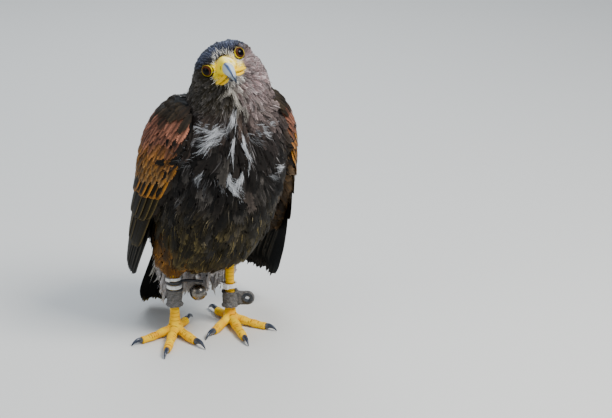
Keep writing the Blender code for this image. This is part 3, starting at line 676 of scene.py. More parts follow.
class Feathers:
    """Feathers of one pattern, laid along shafts and kept as arrays until they are made into pieces."""

    def __init__(self, pattern, shafts, normals, widths, uvs, seed, lift=(-1.0, 3.0), camber=0.3, ragged=0.05,
                 twist=0.0, lift_spread=0.15):
        along, across, loose, quads = pattern
        rng = np.random.default_rng(seed)
        count, size = len(shafts), len(along)
        self.t = np.broadcast_to(along, (count, size)) + loose * rng.normal(0, ragged, (count, size))
        self.u = np.broadcast_to(across, (count, size)) + loose * rng.normal(0, ragged * 1.4, (count, size))
        self.quads, self.uvs = quads, uvs
        spine = along_shafts(shafts, self.t)
        ahead = unit(along_shafts(shafts, self.t + 0.06) - along_shafts(shafts,
                                                                        np.clip(self.t - 0.06, 0, None)))
        up = unit(along_shafts(normals, np.clip(self.t, 0, 1)))
        side = unit(np.cross(ahead, up))
        up = unit(np.cross(side, ahead))
        turn = np.asarray(twist) + rng.normal(0, TWIST_SPREAD, count)
        half = (widths / 2)[:, None]
        low, high = (np.asarray(end, float).reshape(-1, 1) for end in lift)
        rise = rng.normal(1, lift_spread, (count, 1))
        height = (low + (high - low) * smooth_step(-0.2, 1.0, self.t)) * MM * rise
        height = height - camber * half * self.u**2 + half * self.u * np.sin(turn)[:, None]
        height = height + QUILL_RIDGE * MM * (1 - np.clip(np.abs(self.u) * 6, 0, 1))
        self.points = spine + side * (half * self.u)[..., None] + up * height[..., None]

    @staticmethod
    def lying(shafts, lengths):
        """Which shafts run on down the body rather than fold at an edge."""
        run = shafts[:, -1] - shafts[:, 0]
        return (np.linalg.norm(run, axis=1) > 0.62 * lengths) & (run[:, 2] < 0.10 * lengths)

    def pieces(self, name, colours, finish, replaces=()):
        """Makes the meshes, each of at most PIECE_TRIANGLES triangles."""
        count, size, _ = self.points.shape
        share = max(1, PIECE_TRIANGLES // (2 * len(self.quads)))
        for number, start in enumerate(range(0, count, share)):
            part = slice(start, min(start + share, count))
            n = part.stop - part.start
            quads = (self.quads[None] + (np.arange(n) * size)[:, None, None]).reshape(-1, 4)
            patch = np.stack([np.clip(self.u[part], -1, 1), np.clip(self.t[part], 0, 1) * 2 - 1],
                             -1) * PATCH / 2
            uvs = np.clip(self.uvs[part][:, None] + patch, 0.0, 1.0).reshape(-1, 2)
            tints = np.clip(colours[part].reshape(-1, 3), 0, 1)
            points = self.points[part].reshape(-1, 3)
            dress(array_mesh(f"{name}_{number + 1}", points, quads, finish, tints, uvs), replaces)


def layered(colour, *layers):
    """A colour with others laid over it, each given with its share at every point."""
    for over, share in layers:
        colour = blend(colour, over, share)
    return colour


# The share of the bake's square that a feather takes, and how many roots are tried for each that is kept
PATCH = 0.003
DARTS = 5
PIECE_TRIANGLES = 190_000
TWIST_SPREAD = 0.06
QUILL_RIDGE = 0.25


# Markings


def wave(points, scale, seed):
    """A smooth random field over points, about -1 to 1, with features about scale millimetres across."""
    rng = np.random.default_rng(seed)
    total = np.zeros(points.shape[:-1])
    for octave in range(5):
        way = rng.normal(0, 1, 3)
        way *= rng.uniform(0.7, 1.6) * 2 * math.pi / (scale * MM * np.linalg.norm(way))
        total += np.sin(points @ way + rng.uniform(0, 2 * math.pi))
    return total / 2.4


def streaks(points, scale, seed):
    """A smooth random field with its features drawn out down the body."""
    return wave(points * np.array([1.0, 1.0, 0.3]), scale, seed)


def blend(first, second, share):
    return first * (1 - share[..., None]) + second * share[..., None]


def tone(red, green, blue):
    """A colour from its brightness as seen, 0 to 255, in linear light."""
    return np.array([((c / 255 + 0.055) / 1.055) ** 2.4 for c in (red, green, blue)])


CROWN = tone(24, 27, 40)
# Pale edges of the crown's feathers, their blue a painted sheen of sky light
CROWN_EDGE_SKY_SHEEN = tone(118, 128, 158)
# The cheeks: mauve-grey on the left and dark on the right, partly their own colours and partly painted light
# and painted shade
CHEEK_MAUVE_SUNLIT = tone(112, 94, 94)
CHEEK_DARK_SHADED = tone(34, 29, 16)
NAPE = tone(50, 37, 29)
CHIN = tone(218, 212, 202)
LORE = tone(248, 220, 6)
LORE_WHITE = tone(248, 242, 222)
CHEEK_TIP = tone(206, 198, 196)
NECK = tone(44, 36, 32)
NECK_PALE = tone(122, 108, 106)
BREAST = tone(17, 14, 12)
BELLY = tone(33, 28, 12)
FLANK = tone(41, 33, 13)
FLANK_RUST = tone(136, 88, 24)
THIGH = tone(56, 41, 18)
RUFOUS = tone(180, 120, 42)
RUFOUS_DEEP = tone(142, 92, 72)
MANTLE = tone(24, 19, 14)
QUILL = tone(7, 7, 6)
QUILL_EDGE = tone(74, 70, 62)
OLIVE = tone(26, 21, 8)
PALE_EDGE = tone(136, 116, 66)
WHITE = tone(220, 218, 212)
STREAK = tone(150, 146, 146)
FROST = tone(240, 244, 250)
STRAW = tone(146, 128, 76)
GLINT = tone(70, 66, 62)
SOFT_BROWN = tone(66, 50, 31)
CAPE = tone(44, 36, 25)
COVERT_TIP = tone(176, 152, 112)
BRISTLE = tone(236, 232, 222)


def in_bird(points):
    """Points given in metres, in the bird's own frame, in millimetres."""
    return (points - np.array(ORIGIN)) / MM


def body_tone(points, bare=False):
    """The plumage's ground colour at points anywhere on the bird's flesh; skin and feathers both take it.

    Bare gives the yellow of the skin that shows between the bill and the eyes.
    """
    local = in_head(points)
    x, y, z = np.moveaxis(in_bird(points), -1, 0)
    height = z + 9 * wave(points, 60, 3)
    front = smooth_step(5, -25, y)
    rust = 1 - smooth_step(-44, -18, x + 22 * smooth_step(96, 130, height))
    brown = smooth_step(52, 84, x + 5 * wave(points, 25, 17))
    neck = smooth_step(245, 292, z + 6 * wave(points, 30, 5))
    pale = neck * smooth_step(14, 34, x) * (1 - smooth_step(-30, -10, y))
    colour = layered(
        BREAST,
        (BELLY, 1 - smooth_step(120, 205, height)),
        (FLANK, (1 - smooth_step(92, 128, height)) * (0.4 + 0.6 * front)),
        (FLANK_RUST, rust * (1 - smooth_step(112, 150, height)) * smooth_step(14, -16, y)),
        (MANTLE, smooth_step(-15, 15, y) * smooth_step(110, 140, z)),
        (SOFT_BROWN, brown * smooth_step(85, 110, z) * (1 - smooth_step(225, 250, z))),
        (NECK, neck),
        (NECK_PALE, pale * (0.5 + 0.3 * wave(points, 8, 6)).clip(0, 1)),
        (THIGH, 1 - smooth_step(84, 104, z + 4 * wave(points, 20, 8))),
        (WHITE, smooth_step(12, 34, y) * (1 - smooth_step(92, 120, z))),
        (head_tone(local, points), 1 - smooth_step(42, 58, np.linalg.norm(local, axis=-1))),
    )
    if not bare:
        return colour
    rim = 1 - smooth_step(0.2, 1.2, eye_clearance(local))
    white = smooth_step(2, 7, local[..., 0]) * smooth_step(-8, -2, local[..., 2])
    white = white * (0.6 + 0.5 * wave(points, 4, 16)).clip(0, 1)
    return blend(colour, blend(LORE, LORE_WHITE, 0.8 * white), np.maximum(lore_share(local), rim))


def head_tone(local, points):
    """The head's colours: cheek, nape, crown and the pale streak on the chin. The cheek is mauve-grey on the
    left and dark on the right, partly its own colour and partly painted light and painted shade.
    """
    x, y, z = np.moveaxis(local, -1, 0)
    # Painted light and shade in part: the cheek is paler on the left side, where the light falls, and darker
    # on the right
    pale = smooth_step(-10, 12, x + 3 * wave(points, 10, 10))
    chin = smooth_step(-9, -15, z) * smooth_step(-12, -22, y)
    chin = chin * (1 - smooth_step(3, 11, np.abs(x - 1 + 3 * wave(points, 16, 13))))
    return layered(
        CHEEK_DARK_SHADED,
        (CHEEK_MAUVE_SUNLIT, pale * (1 - 0.85 * smooth_step(-3, 10, z + 3 * wave(points, 12, 9)))),
        (NAPE, smooth_step(0, 26, y)),
        (CROWN, smooth_step(6, 15, z + 2 * wave(points, 14, 11)) * smooth_step(-34, -22, y)),
        (CHIN, chin * (0.45 + 0.55 * wave(points, 5, 14)).clip(0, 1)),
    )


def lore_share(local):
    """1 on the bare skin between the bill and the eyes, 0 elsewhere."""
    x, y, z = np.abs(local[..., 0]), local[..., 1], local[..., 2]
    ahead = 1 - smooth_step(-22, -17, y + 0.25 * z)
    return ahead * (1 - smooth_step(7, 12, z + 0.15 * x)) * smooth_step(-16, -11,
                                                                        z) * (1 - smooth_step(15, 19, x))


def lie(points, normals):
    """The way feathers lie: back from the bill over the head, down the neck and body, in under the tail."""
    local = in_head(points)
    turn = unit(unit(local - np.array(BILL_BASE)) @ np.array(HEAD)[:3, :3].T)
    own = in_bird(points)
    x, z = own[..., 0] - 8, own[..., 2]
    under = 1 - smooth_step(90, 130, z)
    breast = smooth_step(120, 190, z) * (1 - smooth_step(255, 290, z)) * smooth_step(10, -20, own[..., 1])
    shoulder = smooth_step(255, 285, z)
    outwards = np.sign(x) * 0.8 * shoulder * smooth_step(15, 40, np.abs(x))
    down = np.stack([
        x * (0.003 * (1 - under) + 0.010 * breast) + outwards,
        0.10 + 0.5 * under + 0.5 * shoulder,
        -np.ones(len(points)),
    ], -1)
    share = smooth_step(34, 62, np.linalg.norm(local - np.array([0, 6, 0]), axis=-1))
    way = blend(turn, unit(down), share)
    sway = 0.26 * wave(points, 34, 21) + 0.16 * wave(points, 12, 22)
    way = way + np.cross(normals, way) * (sway * (0.25 + 0.75 * share))[:, None]
    return along_surface(way, normals)


def along_surface(way, normals):
    """Directions turned to run along a surface."""
    return unit(way - normals * np.sum(way * normals, axis=-1, keepdims=True))


def every(spacing):
    """An even spacing of so many millimetres, for Surface.scatter."""
    return lambda points: np.full(len(points), spacing * MM)


def only(keep, *arrays):
    return [array[keep] for array in arrays]


# Coat of the body


def eye_clearance(local):
    """How far points of the head lie from the nearer eye's rim, in millimetres; less than 0 is inside it."""
    best = np.full(len(local), 1e9)
    for side in (LEFT, RIGHT):
        aim = np.array(mirrored(EYE_AIM, side).normalized())
        centre = np.array(mirrored(EYE_CENTRE, side)) + aim * 3.5
        offset = local - centre
        flat = offset - (offset @ aim)[:, None] * aim
        best = np.minimum(best, np.where(offset @ aim > -9, np.linalg.norm(flat, axis=1), 1e9))
    return best - EYE_RIM


def bill_clearance(local):
    """How far points of the head lie from the cere and bill, seen along the bill."""
    x, y, z = local[:, 0], local[:, 1], local[:, 2]
    ring = np.sqrt((x / 8.8) ** 2 + ((z + 2.0) / 12.2) ** 2)
    return np.where(y < 0, (ring - 1) * 10, 99)


def head_share(points):
    """1 on the head and 0 on the body."""
    return 1 - smooth_step(36, 66, np.linalg.norm(in_head(points), axis=-1))


def face_share(points):
    return 1 - smooth_step(8, 40, np.linalg.norm(in_head(points) - np.array([0, -34, 0]), axis=-1))


def feather_colours(feathers, base, edge, tip, shaft, seed, spread=0.14, rim=(0.40, 0.95), tip_start=0.70):
    """A colour for each point of each feather, from the feather's ground, edge, tip and shaft colours."""
    rng = np.random.default_rng(seed)
    count, size, _ = feathers.points.shape

    def full(colour):
        return np.broadcast_to(colour[:, None] if colour.ndim == 2 else colour, (count, size, 3))

    shade = np.exp(rng.normal(0, spread, (count, 1, 1)))
    colour = layered(
        full(base) * (0.72 + 0.28 * smooth_step(0.1, 0.8, feathers.t))[..., None],
        (full(edge), smooth_step(*rim, np.abs(feathers.u)) * 0.75),
        (full(tip), smooth_step(tip_start, 1.0, feathers.t) * 0.55),
        (full(shaft), (1 - smooth_step(0.03, 0.20, np.abs(feathers.u))) * 0.8),
    )
    return colour * shade * np.exp(rng.normal(0, 0.07, (count, size, 1)))


def dress_head(surface, finish):
    def spacing(points):
        return (1.5 + 1.1 * (1 - face_share(points))) * MM

    points, normals, uvs = surface.scatter(spacing, 101)
    local = in_head(points)
    keep = (head_share(points) > 0.30) & (eye_clearance(local) > 0.6)
    keep &= (bill_clearance(local) > 0) & (lore_share(local) < 0.4)
    points, normals, uvs, local = only(keep, points, normals, uvs, local)
    face = face_share(points)
    near = np.clip(np.minimum(eye_clearance(local) / 9, bill_clearance(local) / 12), 0.0, 1)
    lengths = (3.0 + 8.0 * (1 - face) + 2.0 * near + 4 * smooth_step(6, 34, local[:, 1])) * MM
    widths = lengths * (0.42 - 0.16 * face)
    shafts, ups = surface.lay(points, normals, lengths, lie, 3)
    feathers = Feathers(SMALL, shafts, ups, widths, uvs, 102, lift=(-0.5, 1.3), camber=0.35, ragged=0.07,
                        lift_spread=0.3)
    crown = smooth_step(4, 14, local[:, 2])
    streaky = smooth_step(-0.1, 0.6, wave(points, 6, 31)) * (1 - crown)
    # Painted light in part: the cheek's pale streaks and pale tips are stronger on the left side, where the
    # light falls
    sunlit_side = smooth_step(-6, 12, local[:, 0]) * (1 - 0.7 * smooth_step(-2, 10, local[:, 2]))
    base = blend(body_tone(points), STREAK, streaky * (0.10 + 0.22 * sunlit_side))
    # The crown's feathers get pale edges and tips, their blue a painted sky sheen
    edge = blend(base * 1.35, CROWN_EDGE_SKY_SHEEN, crown * 0.5)
    tip = layered(base * 1.35, (CHEEK_TIP, (1 - crown) * (0.17 + 0.27 * sunlit_side)),
                  (CROWN_EDGE_SKY_SHEEN, crown * 0.8))
    colours = feather_colours(feathers, base, edge, tip, base * 0.5, 103, 0.34, tip_start=0.78)
    feathers.pieces("head_plumage", colours, finish, ("head",))


def fold(points):
    """How far the body's feathers swell and sink in soft folds, in millimetres."""
    return FOLD_HIGH * wave(points, 30, 43)


def left_flank(own):
    """1 on the bird's left side under its wing's front edge, 0 elsewhere."""
    return (own[:, 0] > BODY_MIDDLE) * (1 - smooth_step(190, 210, own[:, 2]))


FOLD_HIGH = 1.7


def front_drape(own):
    """How far the body's feathers reach over the wings' front edges, in degrees round the body."""
    low, high = 1 - smooth_step(190, 215, own[:, 2]), smooth_step(212, 244, own[:, 2])
    return 1 + np.where(own[:, 0] > BODY_MIDDLE, 10 * low, 9 * high)


def shoulder_top(own):
    return smooth_step(262, 274, own[:, 2]) * smooth_step(30, 42, np.abs(own[:, 0] - BODY_MIDDLE))


def cape_share(own, points):
    """Over a half where the body's feathers may lie on the wings: over the shoulders and the front edges."""
    rough = 7 * wave(points, 22, 51)
    behind, drape = front_edge(own), front_drape(own)
    front = 1 - smooth_step(drape, drape + 4, behind + 0.3 * rough)
    front = front * smooth_step(150, 160, own[:, 2] + 50 * left_flank(own))
    level = own[:, 2] + rough + 10 * (1 - smooth_step(15, 50, behind))
    return np.maximum(smooth_step(260, 266, level), front)


def dress_body(hull, surface, cores, finish):
    """The body's feathers, laid over the hull of body and wings so that they drape over the wings' edges."""
    def spacing(points):
        return (2.8 + 1.4 * (1 - head_share(points))) * MM

    points, normals, _ = hull.scatter(spacing, 201)
    points, normals = only(head_share(points) <= 0.34, points, normals)
    own = in_bird(points)
    wing = on_wing(points, cores)
    ridge = (own[:, 2] > 279) & (np.abs(own[:, 0] - BODY_MIDDLE) > 42)
    keep = ((wing < 0.5) | ((cape_share(own, points) > 0.5) & (own[:, 2] < 284))) & ~ridge
    points, normals, own, wing = only(keep, points, normals, own, wing)
    rng = np.random.default_rng(202)
    neck = smooth_step(235, 300, own[:, 2])
    low = 1 - smooth_step(76, 120, own[:, 2])
    top = shoulder_top(own)
    lengths = (30 - 13 * neck - 8 * low - 6 * wing - 4 * top) * np.exp(rng.normal(0, 0.14, len(points))) * MM
    widths = lengths * (0.40 - 0.05 * neck)
    shafts, ups = hull.lay(points, normals, lengths, lie, 4)
    straight = np.linalg.norm(shafts[:, -1] - shafts[:, 0], axis=1) > (0.86 - 0.10 * top) * lengths
    good = Feathers.lying(shafts, lengths) & (straight | ((wing < 0.5) & (top < 0.1)))
    points, own, wing, widths, shafts, ups, top = only(good, points, own, wing, widths, shafts, ups, top)
    swell = fold(points) * (1 - head_share(points))
    lift = (-1.2 + 3.0 * wing + (0.4 * swell - 0.6) * (1 - top),
            5.0 + 1.4 * wing + swell * (1 - wing) - 3.4 * top)
    uvs = surface.uv_at(points)
    feathers = Feathers(LARGE, shafts, ups, widths, uvs, 203, lift=lift, camber=0.34, ragged=0.06,
                        lift_spread=0.14)
    base = blend(body_tone(points), MANTLE, wing * 0.8 * (1 - left_flank(own)))
    base = base * np.exp(0.75 * streaks(points, 22, 44) + 0.6 * streaks(points, 8, 46) - 0.1)[:, None]
    glint = smooth_step(0.35, 1.1, streaks(points, 15, 47)) * (1 - wing) * (1 - head_share(points))
    base = blend(base, GLINT, 0.5 * glint)
    straw = (1 - smooth_step(150, 215, own[:, 2])) * smooth_step(0.0, 0.9,
                                                                 streaks(points, 12, 45)) * 0.42 * (1 - wing)
    edge = blend(base * 1.7, STRAW, straw)
    colours = feather_colours(feathers, base, edge, edge, base * 0.5, 204, 0.36)
    feathers.pieces("body_plumage", colours, finish, ("torso", "neck", "thigh_left", "thigh_right"))


# Loose strands over the body's feathers: how far apart they grow, their lengths and their widths
STRAND_SPACING, STRAND_LENGTH, STRAND_WIDTH = 2.4, (9, 17), (0.35, 0.8)


def dress_strands(hull, surface, cores, finish):
    """Loose strands over the body's feathers, paler in streaks: partly the plumage's own streaks and partly
    painted glints.
    """
    points, normals, _ = hull.scatter(every(STRAND_SPACING), 211)
    keep = (head_share(points) <= 0.6) & (on_wing(points,
                                                  cores) < 0.5) & (shoulder_top(in_bird(points)) < 0.2)
    points, normals = only(keep, points, normals)
    rng = np.random.default_rng(212)
    lengths = rng.uniform(*STRAND_LENGTH, len(points)) * MM
    shafts, ups = hull.lay(points, normals, lengths, lie, 3)
    points, shafts, ups = only(Feathers.lying(shafts, lengths), points, shafts, ups)
    swell = fold(points) * (1 - head_share(points))
    widths = rng.uniform(*STRAND_WIDTH, len(points)) * MM
    strands = Feathers(WISP, shafts, ups, widths, surface.uv_at(points), 213, lift=(3.0 + swell, 5.4 + swell),
                       camber=0, ragged=0)
    height = in_bird(points)[:, 2]
    belly, neck = 1 - smooth_step(140, 205, height), smooth_step(225, 262, height)
    base = body_tone(points)
    # Painted light in part: the paler strands are partly the plumage's own streaks and partly painted glints
    light = smooth_step(0.2, 1.0, streaks(points, 8, 42)) * rng.uniform(0, 1, len(points))
    tint = layered(STREAK, (STRAW, belly), (STREAK * 1.1, neck))
    base = blend(base * 1.4, tint, light * (0.60 + 0.30 * belly + 0.10 * neck))
    strands.pieces("body_strands", feather_colours(strands, base * 0.8, base, base * 1.4, base, 214, 0.45),
                   finish)


# Fluff behind the legs: how far apart it grows, and its lengths
FLUFF_SPACING, FLUFF_LENGTH = 3.0, (18, 34)
# Tufts above this pixel row are the chin's warm white, the others a cold white
WARM_ABOVE = 119
TUFT_FULLNESS, TUFT_WIDTH = 1.3, (0.14, 0.38)
# Pale ragged tufts on the breast: the pixel of the photograph where each shows, its reach along and across
# the lie in millimetres, its number of strands, its turn from the lie in degrees, and its brightness
PALE_TUFTS = (
    ((227, 89), 9, 2.4, 40, 8, 1.0),
    ((233, 94), 11, 2.6, 50, -4, 1.1),
    ((222, 93), 10, 2.4, 24, 16, 0.4),
    ((237, 103), 13, 2.2, 50, -8, 0.8),
    ((243, 113), 13, 2.4, 44, -6, 0.5),
    ((235, 113), 12, 2.2, 30, 6, 0.35),
    ((256, 104), 12, 4.0, 30, -16, 0.25),
    ((213, 133), 19, 8, 90, 42, 0.95),
    ((210, 143), 18, 6, 60, 34, 0.8),
    ((206, 129), 17, 4, 44, 68, 0.55),
    ((195, 147), 22, 9, 100, 44, 0.55),
    ((213, 129), 13, 5, 46, 36, 0.5),
    ((186, 158), 18, 6, 40, 36, 0.22),
    ((230, 121), 13, 2.6, 60, 8, 0.95),
    ((226, 132), 14, 3.0, 30, 24, 0.32),
    ((232, 146), 25, 0.8, 40, 2, 0.9),
    ((232, 162), 12, 0.8, 16, -14, 0.6),
    ((242, 141), 21, 0.9, 40, 0, 1.0),
    ((245, 154), 15, 1.2, 36, -12, 0.9),
    ((247, 163), 10, 0.9, 20, 24, 0.7),
    ((261, 131), 15, 7, 84, -40, 0.6),
    ((269, 124), 13, 5, 50, -48, 0.5),
    ((254, 140), 14, 5, 34, -20, 0.25),
    ((276, 167), 11, 3.6, 60, -28, 1.1),
    ((270, 176), 12, 3.6, 34, -20, 0.25),
    ((228, 175), 13, 2.2, 50, -18, 0.9),
    ((240, 177), 14, 2.4, 56, 8, 1.1),
    ((234, 187), 14, 6.0, 130, -34, 1.0),
    ((243, 197), 13, 4.2, 60, -14, 0.6),
    ((221, 184), 12, 3.2, 40, -42, 0.4),
    ((202, 175), 15, 3.0, 56, 4, 0.5),
    ((197, 178), 14, 3.0, 36, -14, 0.25),
    ((206, 188), 14, 4.0, 36, 8, 0.22),
    ((181, 202), 16, 5.0, 44, 8, 0.16),
    ((190, 216), 14, 5.0, 36, 4, 0.12),
    ((284, 113), 8, 2.6, 36, -20, 0.7),
)


def dress_tufts(hull, surface, finish):
    eye = camera_place()
    for number, (pixel, along, across, few, turn, bright) in enumerate(PALE_TUFTS):
        count = int(TUFT_FULLNESS * few)
        centre, normal, _, _ = hull.tree.ray_cast(eye, pixel_ray(pixel))
        rng = np.random.default_rng(220 + number)
        centre, normal = np.array(centre)[None], np.array(normal)[None]
        ahead = lie(centre, normal)[0]
        side = np.cross(normal[0], ahead)
        turned = math.radians(turn)
        way = ahead * math.cos(turned) - side * math.sin(turned)
        beside = np.cross(normal[0], way)
        spots = rng.normal(0, 0.44, (count, 2)) * np.array([along * 0.7, across]) * MM
        roots = centre + way * (spots[:, :1] - 0.35 * along * MM) + beside * spots[:, 1:]
        nearest = [hull.tree.find_nearest(Vector(p)) for p in roots]
        roots, ups = np.array([n[0] for n in nearest]), np.array([n[1] for n in nearest])
        lengths = along * rng.uniform(0.35, 1.0, count) * MM
        narrow = min(1.0, across / 5)
        fan = rng.normal(0, 0.04 + 0.14 * narrow, (count, 1))

        def combed(points, normals, way=way, beside=beside, fan=fan, sway=0.15 + 0.30 * narrow):
            return along_surface(way + beside * (fan + sway * wave(points, 9, 230)[:, None]), normals)

        shafts, ups = hull.lay(roots, ups, lengths, combed, 4)
        widths = rng.uniform(*TUFT_WIDTH, count) * MM
        swell = fold(roots)
        strands = Feathers(WISP, shafts, ups, widths, surface.uv_at(roots), 240 + number,
                           lift=(3.4 + swell, 6.0 + swell), camber=0, ragged=0, lift_spread=0.12)
        pale = (CHIN if pixel[1] < WARM_ABOVE else FROST) * min(1.0, 1.15 * bright)
        fade = rng.uniform(0.4 * min(1.0, bright), 1.0, (count, 1))
        under = body_tone(roots) * 1.3
        tips = under * (1 - fade) + pale * fade
        base = under * (1 - 0.75 * fade) + pale * 0.75 * fade
        colours = feather_colours(strands, base, base, tips, base, 260 + number, 0.25, tip_start=0.1)
        strands.pieces(f"pale_tuft_{number + 1}", colours, finish)


def dress_fluff(hull, surface, finish):
    """Soft pale feathers that hang behind the legs, from the belly's back edge and the base of the tail."""
    points, _, _ = hull.scatter(every(FLUFF_SPACING), 271)
    own = in_bird(points)
    behind_legs = (own[:, 1] > 2) & (own[:, 1] < 44) & (own[:, 2] < 98) & (np.abs(own[:, 0] - 2) < 44)
    points = points[behind_legs]
    rng = np.random.default_rng(272)
    count = len(points)
    lengths = rng.uniform(*FLUFF_LENGTH, count) * MM
    way = unit(np.stack([rng.normal(-0.08, 0.14, count), rng.normal(0.10, 0.12, count), -np.ones(count)], 1))
    share = np.linspace(0, 1, 5)
    shafts = points[:, None] + way[:, None] * (lengths[:, None] * share[None])[..., None]
    shafts[:, :, 0] += 1.5 * MM * np.sin(3 * share)[None] * rng.normal(0, 1, (count, 1))
    facing = unit(np.stack([rng.normal(0, 0.5, count), np.sign(rng.normal(-0.4, 1, count)), np.zeros(count)],
                           1))
    ups = np.broadcast_to(facing[:, None], shafts.shape)
    feathers = Feathers(SOFT, shafts, ups, lengths * 0.30, surface.uv_at(points), 273, lift=(0, 0),
                        ragged=0.16)
    grey = STREAK * rng.uniform(0.8, 2.2, (count, 1))
    colours = feather_colours(feathers, grey, grey * 1.2, WHITE * 0.8, grey * 0.8, 274, 0.3)
    feathers.pieces("leg_fluff", colours, finish)


def wing_section(own):
    """Points' places in the wings' outline at their heights: sideways and back, in its half widths."""
    centre, wide, deep = np.moveaxis(between(WING_SHAPE, own[:, 2]), -1, 0)
    lean = between(WING_LEAN, own[:, 2])[:, 0]
    return (own[:, 0] - lean) / wide, (own[:, 1] - centre) / deep


def core_edges(heights):
    """The angles of the wing core's front and back edges at heights."""
    places, front, back = np.array(WING_CORE, float).T
    return np.interp(heights, places, front), np.interp(heights, places, back)


# Wings

# Outer face of the closed wings: height, centre y, half width, half depth
WING_SHAPE = (
    (20, 38, 78, 44),
    (50, 31, 84, 52),
    (80, 22, 89, 59),
    (120, 11, 92, 66),
    (160, 1, 93, 70),
    (200, -9, 93, 71),
    (230, -16, 91, 70),
    (255, -22, 84, 65),
    (274, -27, 73, 55),
    (288, -32, 58, 42),
)
# Sideways lean of the wings with the trunk, and each wing's own spread and sweep towards its tip
WING_LEAN = ((20, 14), (120, 14), (200, 16), (288, 15))
WING_SPREAD = {LEFT: 14, RIGHT: -2}
WING_SWEEP = {LEFT: 0, RIGHT: 14}
WING_SPREAD_TOP = 230
PRIMARY_RAISE = {LEFT: 0, RIGHT: 34}
# The left wing's primaries: how far they droop, how far they fan out and how much wider they are
LEFT_DROOP, LEFT_SPREAD, LEFT_WIDER = 20, 9, 5
# The wing's core: height, angle of its front edge, angle of its back edge; 0 is ahead, 90 the side
WING_CORE = (
    (100, 98, 160),
    (125, 84, 166),
    (155, 70, 168),
    (185, 60, 168),
    (215, 52, 167),
    (244, 46, 164),
    (264, 46, 156),
    (278, 54, 142),
    (286, 70, 122),
)
CORE_SINK, CORE_THICK = 6.5, 10
# How near to a wing's core the body's feathers count as lying on the wing
CORE_NEAR = 4.5
BODY_MIDDLE = WING_LEAN[-1][1]


def wing_points(side, heights, angles, out=0.0):
    """Points over the wing's outer face in metres, and the direction away from the body there."""
    heights, angles = np.broadcast_arrays(np.asarray(heights, float), np.asarray(angles, float))
    centre, wide, deep = np.moveaxis(between(WING_SHAPE, heights), -1, 0)
    lean = between(WING_LEAN, heights)[..., 0]
    share = np.maximum(0.0, 1 - heights / WING_SPREAD_TOP)
    sine, cosine = np.sin(np.radians(angles)), np.cos(np.radians(angles))
    normals = unit(np.stack([deep * sine * side, -wide * cosine, np.zeros_like(heights)], -1))
    x = lean + (wide * sine + WING_SPREAD[side] * share) * side
    y = centre - deep * cosine + WING_SWEEP[side] * share
    points = np.stack([x, y, heights], -1) + normals * np.asarray(out, float)[..., None]
    return points * MM + np.array(ORIGIN), normals


def build_wing_core(side, finish):
    """The wing's flesh: a thin closed slab under its feathers."""
    columns, rows = 13, 25
    heights = np.linspace(WING_CORE[0][0], WING_CORE[-1][0], rows)
    front, back = core_edges(heights)
    share = np.linspace(0, 1, columns)
    angles = front[:, None] + (back - front)[:, None] * share[None]
    grid = np.repeat(heights[:, None], columns, 1)
    outer, _ = wing_points(side, grid, angles, -CORE_SINK)
    inner, _ = wing_points(side, grid, angles, -CORE_SINK - CORE_THICK)
    points = np.concatenate([outer.reshape(-1, 3), inner.reshape(-1, 3)])
    base = rows * columns
    faces = []
    for quad in grid_faces(rows, columns, close_columns=False):
        faces += [quad, tuple(base + k for k in reversed(quad))]
    rim = list(range(columns)) + [i * columns + columns - 1 for i in range(1, rows)]
    rim += [base - columns + j for j in range(columns - 2, -1, -1)] + [i * columns for i in range(rows - 2, 0,
                                                                                                  -1)]
    faces += [(a, base + a, base + b, b) for a, b in zip(rim, rim[1:] + rim[:1])]
    core = mesh_object(f"wing_flesh_{SIDE_NAMES[side]}", points, faces, finish)
    face_outwards(core.data)
    unwrap(core)
    paint(core.data, QUILL)
    return dress(core, (f"wing_{SIDE_NAMES[side]}",))


def on_wing(points, cores):
    """1 for points that lie on a wing rather than on the body, else 0."""
    own = in_bird(points)
    far, behind, z = np.hypot(*wing_section(own)), front_edge(own), own[:, 2]
    share = ((far > 0.88) & (behind > 0) & (z > WING_CORE[0][0] - 16) & (z < 302)).astype(float)
    share[(far > 0.7) & (behind > 5) & (z > 150) & (z < 262)] = 1
    for i in np.nonzero(share == 0)[0]:
        for core in cores:
            if core.tree.find_nearest(Vector(points[i]), CORE_NEAR * MM)[0] is not None:
                share[i] = 1
    return share


def front_edge(own):
    """How far points in the bird's own frame lie behind the wings' front edges, in degrees round the body."""
    sideways, back = wing_section(own)
    return np.degrees(np.arctan2(np.abs(sideways), -back)) - core_edges(own[:, 2])[0]


# Large feathers: name, count, root height, tip height front and back, root angles, tip angles, width, lift,
# twist, step between neighbours
WING_ROWS = (
    ("primary", 9, 162, 33, 62, (73, 106), (92, 124), 19, (-5.5, -1.2), 0.10, 0.9),
    ("secondary", 13, 184, 112, 98, (75, 158), (86, 166), 23, (-5.5, -0.4), 0.16, 0.0),
    ("greater", 15, 205, 149, 138, (69, 160), (77, 166), 18, (-5.2, 0.0), 0.16, 0.0),
    ("median", 17, 224, 179, 168, (61, 159), (68, 164), 15, (-5.0, 0.2), 0.16, 0.0),
)
# How much higher the middle feathers of each row end
ROW_WAVE = {"primary": 0, "secondary": 7, "greater": 5, "median": 3}
# Where the paler rim starts and is full, as a share of the way from a feather's shaft to its edge
EDGE_RIM = {"primary": (0.86, 1.0), "secondary": (0.84, 0.98), "greater": (0.72, 0.96),
            "median": (0.50, 0.95)}
LESSER_ROWS, LESSER_TOP, LESSER_BOTTOM = 10, 281, 196
LESSER_PITCH = 8.2


